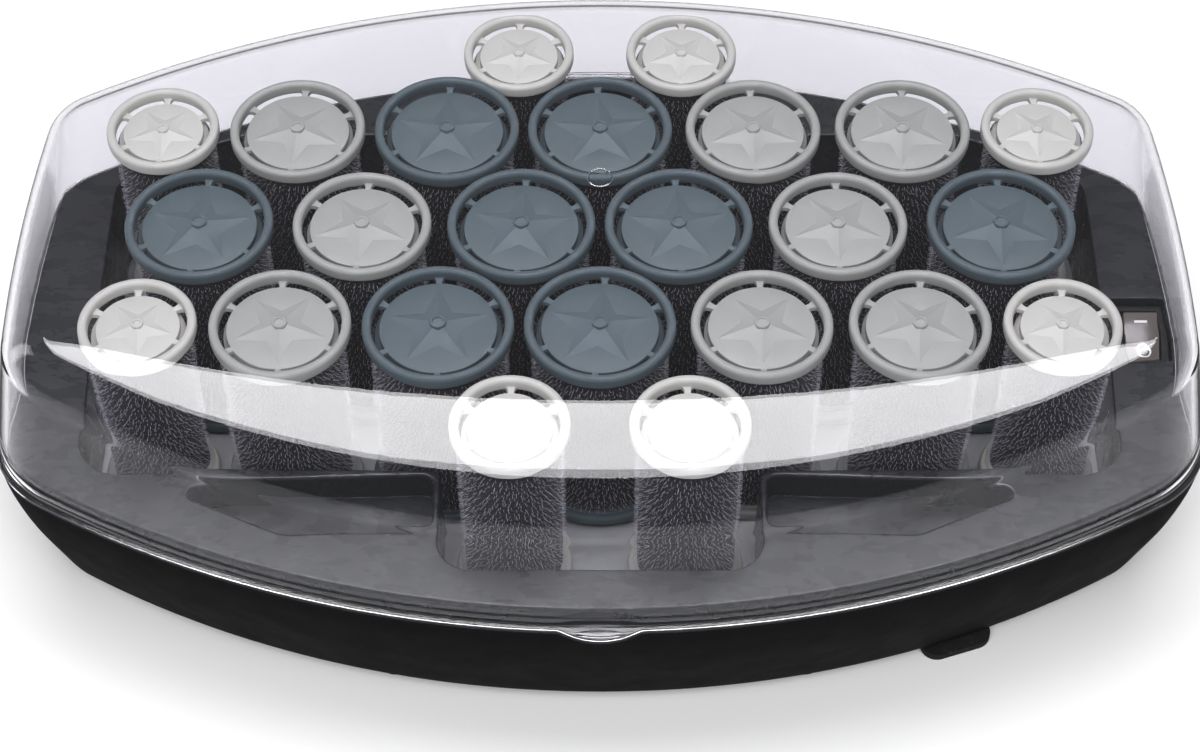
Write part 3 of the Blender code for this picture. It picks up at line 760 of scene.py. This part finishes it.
def make_tab_eye():
    """The eye-shaped pad on the thumb tab."""
    bm = bmesh.new()
    loops = []
    for share, rise in ((1.0, -0.10), (0.98, 0.16), (0.90, 0.32), (0.70, 0.43), (0.40, 0.50)):
        eye = []
        for step in range(32):
            angle = math.pi * step / 16
            eye.append((TAB_EYE_HALF * share * math.cos(angle),
                        TAB_EYE_DEPTH * share * math.sin(angle) * abs(math.sin(angle))))
        loops.append(add_loop(bm, eye, rise * MM))
    add_solid(bm, loops)
    make_piece("lid_tab_eye", bm, "lid", "clear_plastic",
               at=(0.0, FRONT_Y - 0.9 * MM, FLANGE_Z + LID_FLANGE))


# ==== base: housing, tray, heater, hinge, feet, screws ==============================
def make_housing():
    low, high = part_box("lower_housing")
    rim = high.z
    outer = smooth_profile([(low.z + 0.3 * MM, 14.6 * MM), (low.z + 1.2 * MM, 13.7 * MM),
                            (6.5 * MM, 12.0 * MM), (15 * MM, 9.0 * MM), (30 * MM, 4.0 * MM),
                            (43 * MM, 1.0 * MM), (rim - 0.5 * MM, 0.5 * MM)], 5)
    rings = [(low.z, 15.6 * MM)] + outer
    rings += [(rim - 0.15 * MM, 0.65 * MM), (rim, 1.0 * MM), (rim, 2.7 * MM),
              (rim - 0.15 * MM, 3.05 * MM), (rim - 0.5 * MM, 3.2 * MM)]
    rings += smooth_profile([(43 * MM, 3.6 * MM), (30 * MM, 6.5 * MM), (15 * MM, 11.5 * MM),
                             (5.5 * MM, 17.0 * MM)], 3)
    bm = bmesh.new()
    add_solid(bm, [add_loop(bm, plan_outline(inset), z) for z, inset in rings])
    housing = place("housing_shell", mesh_of("housing_shell", bm, ["black_plastic"]))
    tools = []
    for name, radius, sides, bottom, top, operation in (
            ("pads", 5.2, 32, 4.5, 8.0, "UNION"), ("wide_holes", 3.1, 32, 0.0, 5.5, "DIFFERENCE"),
            ("narrow_holes", 1.6, 20, 5.0, 12.0, "DIFFERENCE")):
        bm = bmesh.new()
        for x, y in SCREW_PLACES:
            add_prism(bm, circle(x, y, radius * MM, sides), bottom * MM, top * MM)
        tools.append((place(name, mesh_of(name, bm, ["black_plastic"])), operation))
    bm = bmesh.new()
    add_prism(bm, circle(0.0, 0.0, 5.9 * MM, 40), -20 * MM, 20 * MM)
    bore = place("lead_hole", mesh_of("lead_hole", bm, ["black_plastic"]), OUTLET, TO_BACK)
    baked_boolean(housing, tools + [(bore, "DIFFERENCE")])
    flat_first(housing)
    finish_piece(housing, "base", "black_plastic", "lower_housing")


def make_outlet():
    """The moulded collar round the hole for the lead, with its rounded lip."""
    bm = bmesh.new()
    bore = 3.6 * MM
    profile = [(bore + 0.5 * MM, 8.0 * MM), (bore + 0.15 * MM, 7.85 * MM), (bore, 7.4 * MM),
               (bore, -3.0 * MM), (6.2 * MM, -3.0 * MM), (5.7 * MM, 7.2 * MM),
               (5.5 * MM, 7.7 * MM), (5.1 * MM, 8.0 * MM)]
    add_turned(bm, profile, 48)
    make_piece("cable_outlet_collar", bm, "base", "black_plastic", at=OUTLET, turn=TO_BACK)


def make_hinge():
    turn = arc((HINGE_Y, HINGE_Z), HINGE_RADIUS, math.radians(-120), math.radians(90), 22)
    wall_y = 93.3 * MM
    profile = [(wall_y, 40.0 * MM)] + turn + [(HINGE_Y, HINGE_Z + HINGE_RADIUS),
                                             (wall_y, HINGE_Z + HINGE_RADIUS)]
    centre_y = (wall_y + HINGE_Y) / 2
    for name, side in (("left", -1), ("right", 1)):
        sections = []
        for x, shrink in ((EAR_IN, 0.93), (EAR_IN + 0.3 * MM, 1.0), (EAR_OUT - 0.6 * MM, 1.0),
                          (EAR_OUT - 0.2 * MM, 0.97), (EAR_OUT, 0.90)):
            sections.append([(side * x, centre_y + (y - centre_y) * shrink,
                              HINGE_Z + (z - HINGE_Z) * shrink) for y, z in profile])
        bm = bmesh.new()
        add_bar(bm, sections)
        flat_first(make_piece(f"hinge_ear_{name}", bm, "base", "black_plastic"))
    bm = bmesh.new()
    half = PIN_HIGH.x + 1.2 * MM
    radius = (PIN_HIGH.z - PIN_LOW.z) / 2
    profile = [(0.0, -half), (radius * 0.7, -half), (radius, -half + 0.4 * MM),
               (radius, half - 0.4 * MM), (radius * 0.7, half), (0.0, half)]
    add_turned(bm, profile, 28, closed=False)
    make_piece("hinge_pin_rod", bm, "base", "steel", "hinge_pin",
               at=(0.0, HINGE_Y, HINGE_Z), turn=(0.0, RIGHT_ANGLE, 0.0))


def make_tray():
    """Ledge, skirt, well wall, clip pockets and switch seat as one closed moulding."""
    bm = bmesh.new()
    edge = 1.0 * MM
    skirt = 1.2 * MM
    rim = round_edge(LEDGE_Z, edge)
    outer = [add_loop(bm, plan_outline(TRAY_INSET + grow), z) for grow, z in rim]
    low = TRAY_SKIRT_Z
    under = LEDGE_Z - TRAY_SKIN
    for inset, z in ((0.0, low + 0.2 * MM), (0.2 * MM, low), (skirt, low), (skirt, under)):
        outer.append(add_loop(bm, plan_outline(TRAY_INSET + inset), z))
    skin(bm, outer)
    tops = [outer[0]]
    unders = [outer[-1]]

    well = [add_loop(bm, filleted(well_corners(), grow), z)
            for grow, z in round_edge(LEDGE_Z, 0.6 * MM)]
    for grow, z in ((0.0, WELL_BOTTOM_Z), (0.6 * MM, WELL_BOTTOM_Z), (0.6 * MM, under)):
        well.append(add_loop(bm, filleted(well_corners(), grow), z))
    skin(bm, well)
    tops.append(well[0])
    unders.append(well[-1])

    floor_z = LEDGE_Z - POCKET_DEPTH
    for side in (-1, 1):
        corners = pocket_corners(side)
        cup = [add_loop(bm, filleted(corners, grow), z)
               for grow, z in round_edge(LEDGE_Z, 1.0 * MM, 5)]
        cup.append(add_loop(bm, filleted(corners), floor_z + 0.5 * MM))
        cup.append(add_loop(bm, filleted(corners, -0.15 * MM), floor_z + 0.12 * MM))
        cup.append(add_loop(bm, filleted(corners, -0.5 * MM), floor_z))
        skin(bm, cup)
        fill(bm, [cup[-1]])
        tops.append(cup[0])
        shell = [add_loop(bm, filleted(corners, 0.7 * MM), z)
                 for z in (floor_z - 1.0 * MM, under)]
        skin(bm, shell)
        fill(bm, [shell[0]])
        unders.append(shell[1])

    recess = rectangle(SWITCH_X, SWITCH_Y, 16.8 * MM, 21.6 * MM, 0.8 * MM)
    hole = rectangle(SWITCH_X, SWITCH_Y, 13.0 * MM, 18.6 * MM, 0.8 * MM)
    back = rectangle(SWITCH_X - 0.2 * MM, SWITCH_Y, 17.4 * MM, 24.5 * MM, 0.8 * MM)
    seat = [(recess, grow, z) for grow, z in round_edge(LEDGE_Z, 0.3 * MM)]
    seat += [(recess, 0.0, SEAT_Z), (hole, 0.0, SEAT_Z), (hole, 0.0, SEAT_Z - TRAY_SKIN),
             (back, 0.0, SEAT_Z - TRAY_SKIN), (back, 0.0, under)]
    seat = [add_loop(bm, filleted(corners, grow), z) for corners, grow, z in seat]
    skin(bm, seat)
    tops.append(seat[0])
    unders.append(seat[-1])

    fill(bm, tops)
    fill(bm, unders)
    flat_first(make_piece("tray_moulding", bm, "base", "tray_plastic", "tray", smooth=32.0))


def make_heater():
    """The cast plate under the well, with its rolled edge, and a stepped post per roller."""
    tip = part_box("heater_plate")[1].z
    bm = bmesh.new()
    corners = well_corners()
    rings = [(0.4 * MM, PLATE_TOP_Z - 2.2 * MM), (0.9 * MM, PLATE_TOP_Z - 1.9 * MM),
             (0.9 * MM, PLATE_TOP_Z - 0.4 * MM), (0.5 * MM, PLATE_TOP_Z)]
    loops = [add_loop(bm, filleted(corners, grow), z) for grow, z in rings]
    skin(bm, loops)
    fill(bm, [loops[0]])
    fill(bm, [loops[-1]])
    flat_first(make_piece("heater_plate_casting", bm, "base", "aluminium", "heater_plate"))
    bm = bmesh.new()
    profile = [(0.0, PLATE_TOP_Z - 0.5 * MM), (6.6 * MM, PLATE_TOP_Z - 0.5 * MM),
               (6.1 * MM, PLATE_TOP_Z + 0.25 * MM), (5.3 * MM, PLATE_TOP_Z + 0.30 * MM),
               (5.2 * MM, PLATE_TOP_Z + 3.0 * MM), (4.9 * MM, tip - 12.0 * MM),
               (4.6 * MM, tip - 3.0 * MM), (4.2 * MM, tip - 1.2 * MM), (3.2 * MM, tip - 0.3 * MM),
               (1.6 * MM, tip), (1.2 * MM, tip - 0.5 * MM), (0.0, tip - 0.5 * MM)]
    add_turned(bm, profile, 32, closed=False)
    mesh = mesh_of("heater_post", bm, ["aluminium"])
    for name in ROLLERS:
        centre = axis_of(name)
        post = place(f"post_{name}", mesh, (centre.x, centre.y, 0.0))
        finish_piece(post, "base", "aluminium")


def make_feet():
    for name, turn in (("foot_front_left", -17.0), ("foot_front_right", 19.0),
                       ("foot_rear_left", 17.0), ("foot_rear_right", -17.0)):
        low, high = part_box(name)
        centre = (low + high) / 2
        corners = rectangle(0.0, 0.0, 20.0 * MM, 12.0 * MM, 4.5 * MM)
        bm = bmesh.new()
        loops = [add_loop(bm, filleted(corners, grow), z) for grow, z in (
            (-2.6 * MM, 0.25 * MM), (-2.0 * MM, 0.0), (-0.8 * MM, 0.0), (-0.2 * MM, 0.25 * MM),
            (0.0, 0.8 * MM), (0.0, high.z))]
        skin(bm, loops)
        fill(bm, [loops[0]])
        fill(bm, [loops[-1]])
        make_piece(f"{name}_pad", bm, "base", "rubber", name,
                   at=(centre.x, centre.y, 0.0), turn=(0.0, 0.0, math.radians(turn)))


def make_screws():
    """Pan-head case screws with a cross recess, in their counterbores."""
    bm = bmesh.new()
    profile = [(0.0, 3.7 * MM), (1.2 * MM, 3.72 * MM), (2.1 * MM, 3.95 * MM),
               (2.6 * MM, 4.5 * MM), (2.7 * MM, 5.3 * MM), (1.4 * MM, 5.4 * MM),
               (1.4 * MM, 11.5 * MM), (0.0, 12.5 * MM)]
    add_turned(bm, profile, 36, closed=False)
    pattern = place("screw_pattern", mesh_of("screw_pattern", bm, ["steel"]))
    tools = []
    for turn in (0.0, RIGHT_ANGLE):
        bm = bmesh.new()
        outline = filleted(rectangle(0.0, 0.0, 2.9 * MM, 0.62 * MM, 0.15 * MM))
        add_prism(bm, outline, 3.0 * MM, 4.9 * MM)
        arm = place(f"cross_{turn:.0f}", mesh_of("cross", bm, ["steel"]), rotation=(0, 0, turn))
        tools.append((arm, "DIFFERENCE"))
    baked_boolean(pattern, tools)
    mesh = pattern.data
    bpy.data.objects.remove(pattern, do_unlink=True)
    for index, (x, y) in enumerate(SCREW_PLACES):
        screw = place(f"case_screw_{index + 1}", mesh, (x, y, 0.0), (0, 0, 0.7 * index))
        finish_piece(screw, "base", "steel")


# ==== switch ==============================
def make_switch():
    centre = (SWITCH_X, SWITCH_Y)
    bezel = rectangle(*centre, 16.2 * MM, 20.8 * MM, 1.0 * MM)
    mouth = rectangle(*centre, 10.2 * MM, 16.2 * MM, 0.6 * MM)
    inside = rectangle(*centre, 12.2 * MM, 17.8 * MM, 0.6 * MM)
    top = SWITCH_HIGH.z
    bm = bmesh.new()
    rings = [(bezel, -0.9 * MM, top), (bezel, -0.35 * MM, top - 0.12 * MM),
             (bezel, -0.08 * MM, top - 0.45 * MM), (bezel, 0.0, top - 0.9 * MM),
             (bezel, 0.0, top - 1.4 * MM), (inside, 0.0, top - 1.4 * MM),
             (inside, 0.0, 40.0 * MM)]
    outside = [add_loop(bm, filleted(corners, grow), z) for corners, grow, z in rings]
    skin(bm, outside)
    fill(bm, [outside[-1]])
    cup = [add_loop(bm, filleted(mouth, grow), z) for grow, z in round_edge(top, 0.45 * MM)]
    cup += [add_loop(bm, filleted(mouth), 44.2 * MM)]
    skin(bm, cup)
    fill(bm, [cup[-1]])
    fill(bm, [outside[0], cup[0]])
    for offset in (-4.8 * MM, 4.8 * MM):
        add_prism(bm, filleted(rectangle(SWITCH_X, SWITCH_Y + offset, 4.8 * MM, 0.8 * MM,
                                         0.15 * MM)), SWITCH_LOW.z, 40.5 * MM)
    flat_first(make_piece("switch_bezel", bm, "base", "black_plastic", "switch_body"))


def rocker_surface(y):
    """Height of the rocker's hollow face above its pivot, at y along it."""
    return (4.75 + 1.25 * (y / (6.5 * MM)) ** 2) * MM


def make_rocker():
    """The rocker, drawn level about its pivot and tipped to its off position."""
    half = 6.7 * MM
    profile = []
    for step in range(17):
        y = -half + 2 * half * step / 16
        profile.append((y, rocker_surface(y)))
    profile += [(7.0 * MM, 5.6 * MM), (7.1 * MM, 2.0 * MM), (5.4 * MM, -1.8 * MM),
                (2.3 * MM, -3.2 * MM), (-2.3 * MM, -3.2 * MM), (-5.4 * MM, -1.8 * MM),
                (-7.1 * MM, 2.0 * MM), (-7.0 * MM, 5.6 * MM)]
    width = 4.7 * MM
    sections = []
    for x, drop in ((-width, 0.45), (-width + 0.12 * MM, 0.15), (-width + 0.45 * MM, 0.0),
                    (width - 0.45 * MM, 0.0), (width - 0.12 * MM, 0.15), (width, 0.45)):
        sections.append([(x, y * (1 - 0.03 * drop), z - drop * MM if z > 3.0 * MM else z)
                         for y, z in profile])
    bm = bmesh.new()
    add_bar(bm, sections)
    seat = (SWITCH_X, SWITCH_Y, PIVOT_Z)
    tip = (ROCKER_TIP, 0.0, 0.0)
    make_piece("switch_rocker_key", bm, "rocker", "rocker_plastic", "switch_rocker",
               at=seat, turn=tip, smooth=30.0)
    lift = 0.05 * MM
    bm = bmesh.new()
    rows = [4.3 * MM + (step / 6 - 0.5) * 0.62 * MM for step in range(7)]
    add_patch(bm, [-1.75 * MM, -0.6 * MM, 0.6 * MM, 1.75 * MM], rows, lift)
    make_piece("switch_mark_on", bm, "rocker", "rocker_plastic", at=seat, turn=tip,
               look="printed_white")
    bm = bmesh.new()
    outer, inner = 2.0 * MM, 1.45 * MM
    centre_y = -3.3 * MM
    loops = []
    for radius, height in ((outer, -lift), (outer, lift), (inner, lift), (inner, -lift)):
        loops.append([bm.verts.new((x, y, rocker_surface(y) + height))
                      for x, y in circle(0.0, centre_y, radius, 40)])
    skin(bm, loops + [loops[0]])
    make_piece("switch_mark_off", bm, "rocker", "rocker_plastic", at=seat, turn=tip,
               look="printed_white")


def add_patch(bm, columns, rows, lift):
    """A thin raised print that follows the rocker's face."""
    outline = [(x, rows[0]) for x in columns] + [(columns[-1], y) for y in rows[1:]]
    outline += [(x, rows[-1]) for x in reversed(columns[:-1])]
    outline += [(columns[0], y) for y in reversed(rows[1:-1])]
    add_bar(bm, [[(x, y, rocker_surface(y) + height) for x, y in outline]
                 for height in (-lift, lift)])


# ==== rollers ==============================
def axis_of(roller):
    """Foot of a roller's axis, from its CAD barrel."""
    low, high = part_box(f"{roller}_barrel")
    return Vector(((low.x + high.x) / 2, (low.y + high.y) / 2, low.z))


def sizes_of(kind):
    """(ring radius, core radius, sleeve radius, length) of a kind, from its CAD pieces."""
    low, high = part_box(f"{kind}_roller_1_barrel")
    sleeve_low, sleeve_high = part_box(f"{kind}_roller_1_sleeve")
    sleeve = (sleeve_high.x - sleeve_low.x) / 2
    return (high.x - low.x) / 2, sleeve - SLEEVE_THICKNESS, sleeve, high.z - low.z


def rounded_section(inner, outer, low, high, radius, steps=5):
    """(r, z) loop of a ring's section, rounded at its four corners."""
    corners = [(outer - radius, low + radius, -90), (outer - radius, high - radius, 0),
               (inner + radius, high - radius, 90), (inner + radius, low + radius, 180)]
    section = []
    for r, z, start in corners:
        for step in range(steps + 1):
            angle = math.radians(start + 90.0 * step / steps)
            section.append((r + radius * math.cos(angle), z + radius * math.sin(angle)))
    return section


def add_spoke(bm, angle, inner, outer, low, high):
    """One bridge between disc and ring, spread like a dovetail where it meets the ring."""
    across = [(0.90 * MM, inner), (0.80 * MM, inner + (outer - inner) * 0.35),
              (1.05 * MM, inner + (outer - inner) * 0.65), (1.75 * MM, outer)]
    edge = across + [(-half, radius) for half, radius in reversed(across)]
    turn = Matrix.Rotation(angle, 3, "Z")
    add_bar(bm, [[turn @ Vector((half * shrink, radius, z)) for half, radius in edge]
                 for z, shrink in ((low, 1.0), (high - 0.15 * MM, 1.0), (high, 0.86))])


def add_star(bm, reach, notch, base, rise):
    """Five-pointed star with a ridge to each point and a valley to each notch."""
    rim = []
    for index in range(10):
        radius = reach if index % 2 == 0 else notch
        angle = RIGHT_ANGLE + index * math.pi / 5
        rim.append((radius * math.cos(angle), radius * math.sin(angle)))
    floor = add_loop(bm, rim, base - 0.3 * MM)
    lip = add_loop(bm, rim, base + 0.05 * MM)
    peak = bm.verts.new((0.0, 0.0, base + rise))
    skin(bm, [floor, lip])
    for index in range(10):
        bm.faces.new((lip[index], lip[(index + 1) % 10], peak))
    bm.faces.new(floor)


def roller_core_mesh(kind):
    ring, core, sleeve, length = sizes_of(kind)
    bm = bmesh.new()
    sides = 88
    disc = ring - RING_WIDTH - SLOT_WIDTH
    top = length - DISC_DROP
    lip = core + 0.35 * MM
    inner = core - 1.6 * MM
    barrel = [(POST_BORE, 0.4 * MM), (POST_BORE + 0.4 * MM, 0.0)]
    bend = 1.1 * MM
    for step in range(7):
        angle = -RIGHT_ANGLE + math.pi * step / 6
        barrel.append((ring - bend + bend * math.cos(angle),
                       2.0 * MM + math.copysign(0.9 * MM, step - 2.9) + bend * math.sin(angle)))
    barrel += [(core + 0.9 * MM, 4.10 * MM), (core + 0.7 * MM, 4.45 * MM),
               (sleeve - 0.2 * MM, 4.55 * MM), (sleeve - 0.1 * MM, 4.75 * MM),
               (sleeve - 0.2 * MM, 5.0 * MM), (core, 5.1 * MM), (core, length - 5.6 * MM),
               (lip, length - 5.5 * MM), (lip, length - 5.0 * MM),
               (lip - 0.3 * MM, length - 4.7 * MM), (disc, length - 4.3 * MM),
               (disc, top - 0.45 * MM), (disc - 0.12 * MM, top - 0.13 * MM),
               (disc - 0.45 * MM, top), (disc * 0.5, top - 0.06 * MM),
               (1.2 * MM, top - 0.08 * MM), (1.2 * MM, top - 1.2 * MM),
               (inner, top - 1.2 * MM), (inner, 1.4 * MM),
               (POST_BORE + 0.9 * MM, 1.4 * MM), (POST_BORE + 0.9 * MM, 14.0 * MM),
               (POST_BORE, 14.0 * MM)]
    add_turned(bm, barrel, sides)
    add_turned(bm, rounded_section(ring - RING_WIDTH - 0.15 * MM, ring, length - 3.9 * MM, length,
                                   1.05 * MM), sides)
    for index in range(6):
        add_spoke(bm, index * math.pi / 3, disc - 0.4 * MM, ring - RING_WIDTH + 0.35 * MM,
                  top - 1.3 * MM, top + 0.05 * MM)
    add_star(bm, disc * 0.89, disc * 0.40, top - 0.06 * MM, disc * STAR_RISE)
    boss = 0.115 * disc
    add_turned(bm, rounded_section(boss - 0.35 * MM, boss + 0.35 * MM, top - 0.3 * MM,
                                   top + disc * STAR_RISE + 0.22 * MM, 0.22 * MM, 3), 36)
    add_turned(bm, [(0.0, top - 1.3 * MM), (boss - 0.2 * MM, top - 1.3 * MM),
                    (boss - 0.2 * MM, top + disc * STAR_RISE - 0.15 * MM),
                    (0.0, top + disc * STAR_RISE - 0.10 * MM)], 36, closed=False)
    return mesh_of(f"{kind}_core", bm, [ROLLER_SLOTS[kind]], 30.0)


def add_hook(bm, chance, radius, angle, z):
    """One nylon hook: a thin tapering spike that rises from the cloth and curls over."""
    lean = chance.choice((-1, 1)) * RIGHT_ANGLE + chance.gauss(0.0, 0.55)
    height = HOOK_HEIGHT * chance.uniform(0.70, 1.05)
    swing = HOOK_HEIGHT * chance.uniform(0.45, 0.80)
    outward = Vector((math.cos(angle), math.sin(angle), 0.0))
    around = Vector((-math.sin(angle), math.cos(angle), 0.0))
    sideways = around * math.cos(lean) + Vector((0.0, 0.0, math.sin(lean)))
    binormal = outward.cross(sideways)
    foot = outward * radius + Vector((0.0, 0.0, z))
    loops = []
    for index, (across, up) in enumerate(HOOK_PATH):
        centre = foot + sideways * (across * swing) + outward * (up * height)
        if index == len(HOOK_PATH) - 1:
            loops.append([bm.verts.new(centre)])
            continue
        ahead = HOOK_PATH[index + 1]
        along = (sideways * ((ahead[0] - across) * swing)
                 + outward * ((ahead[1] - up) * height)).normalized()
        flat = binormal.cross(along).normalized()
        thick = HOOK_THICKNESS * (1.1 - 0.1 * index)
        loops.append([bm.verts.new(centre + flat * (thick * math.cos(turn))
                                   + binormal * (thick * math.sin(turn)))
                      for turn in (0.0, 2 * math.pi / 3, 4 * math.pi / 3)])
    skin(bm, loops, 1)
    bm.faces.new(loops[0]).material_index = 1


def sleeve_mesh(kind):
    """A knitted sleeve with rows of hooks, never quite in line."""
    _, core, sleeve, length = sizes_of(kind)
    chance = random.Random(f"sleeve {kind}")
    low, high = 5.3 * MM, length - 5.8 * MM
    cloth = sleeve - HOOK_HEIGHT * 0.95
    bm = bmesh.new()
    profile = [(core + 0.15 * MM, low), (cloth - 0.25 * MM, low), (cloth, low + 0.3 * MM)]
    rows = 14
    for row in range(1, rows):
        z = low + (high - low) * row / rows
        profile.append((cloth + 0.05 * MM * chance.uniform(-1, 1), z))
    profile += [(cloth, high - 0.3 * MM), (cloth - 0.25 * MM, high), (core + 0.15 * MM, high)]
    add_turned(bm, profile, 72)
    columns = round(2 * math.pi * cloth / HOOK_PITCH)
    hook_rows = round((high - low - 1.0 * MM) / HOOK_PITCH)
    for row in range(hook_rows):
        for column in range(columns):
            around = column + 0.5 * (row % 2) + chance.uniform(-0.35, 0.35)
            angle = 2 * math.pi * around / columns
            z = low + 0.7 * MM + HOOK_PITCH * (row + chance.uniform(-0.35, 0.35))
            add_hook(bm, chance, cloth, angle, min(z, high - 0.3 * MM))
    return mesh_of(f"{kind}_sleeve", bm, ["velvet", "hook_nylon"], 50.0)


def make_rollers():
    chance = random.Random("star angles")
    for kind in KINDS:
        core_mesh = roller_core_mesh(kind)
        velvet_mesh = sleeve_mesh(kind)
        for name in [roller for roller in ROLLERS if roller.startswith(kind)]:
            place_at = axis_of(name)
            upright = 0.0 if kind == "large" and name != "large_roller_6" else math.pi
            turn = (0.0, 0.0, upright + math.radians(chance.uniform(-5.0, 5.0)))
            core = place(f"{name}_core", core_mesh, place_at, turn)
            finish_piece(core, name, ROLLER_SLOTS[kind], f"{name}_barrel")
            velvet = place(f"{name}_velvet", velvet_mesh, place_at, turn)
            finish_piece(velvet, name, "velvet", f"{name}_sleeve")


# ==== studio ==============================
def make_floor():
    bm = bmesh.new()
    bmesh.ops.create_grid(bm, x_segments=8, y_segments=8, size=3.0)
    mesh = bpy.data.meshes.new("floor")
    bm.to_mesh(mesh)
    bm.free()
    mesh.materials.append(studio_floor("studio_floor"))
    floor = place("floor", mesh)
    floor.visible_glossy = False


def area_light(name, location, target, size, energy):
    data = bpy.data.lights.new(name, "AREA")
    data.shape = "RECTANGLE"
    data.size, data.size_y = size
    data.energy = energy
    lamp = bpy.data.objects.new(name, data)
    bpy.context.collection.objects.link(lamp)
    lamp.location = location
    aim = Vector(target) - Vector(location)
    lamp.rotation_euler = aim.to_track_quat("-Z", "Y").to_euler()
    return lamp


def make_lights():
    below, size = (0.0, 0.25, 0.0), (1.10, 0.80)
    area_light("softbox", (0.0, 0.25, 1.25), below, size, 11.5)
    card = area_light("gloss_card", (0.0, 0.25, 1.249), below, size, 15.0)
    card.visible_diffuse = False
    fill = area_light("front_fill", (0.0, -0.85, 1.10), (0.0, -0.05, 0.0), (1.60, 0.90), 19.0)
    fill.visible_glossy = False
    fill.visible_transmission = False
    area_light("strip_left", (-1.1, 0.15, 0.45), (0.0, 0.0, 0.05), (0.25, 0.9), 2.0)
    world = bpy.data.worlds.new("studio")
    world.use_nodes = True
    backdrop = world.node_tree.nodes["Background"]
    backdrop.inputs["Color"].default_value = (0.97, 0.97, 1.0, 1.0)
    backdrop.inputs["Strength"].default_value = 0.16
    bpy.context.scene.world = world


def make_camera():
    data = bpy.data.cameras.new("camera")
    data.lens = 87.6
    data.sensor_width = 36.0
    camera = bpy.data.objects.new("camera", data)
    bpy.context.collection.objects.link(camera)
    camera.location = (0.0, -0.5223, 0.6622)
    camera.rotation_euler = (math.radians(39.6), 0.0, 0.0)
    bpy.context.scene.camera = camera


make_camera()
make_housing()
make_outlet()
make_hinge()
make_tray()
make_heater()
make_feet()
make_screws()
make_switch()
make_rocker()
make_rollers()
make_lid()
make_knuckle()
make_gate_mark()
make_tab_eye()
frame["nodes"]["heating_element"].data.materials[0] = LOOKS["steel"]
make_floor()
make_lights()
bpy.context.scene.view_settings.view_transform = "Standard"
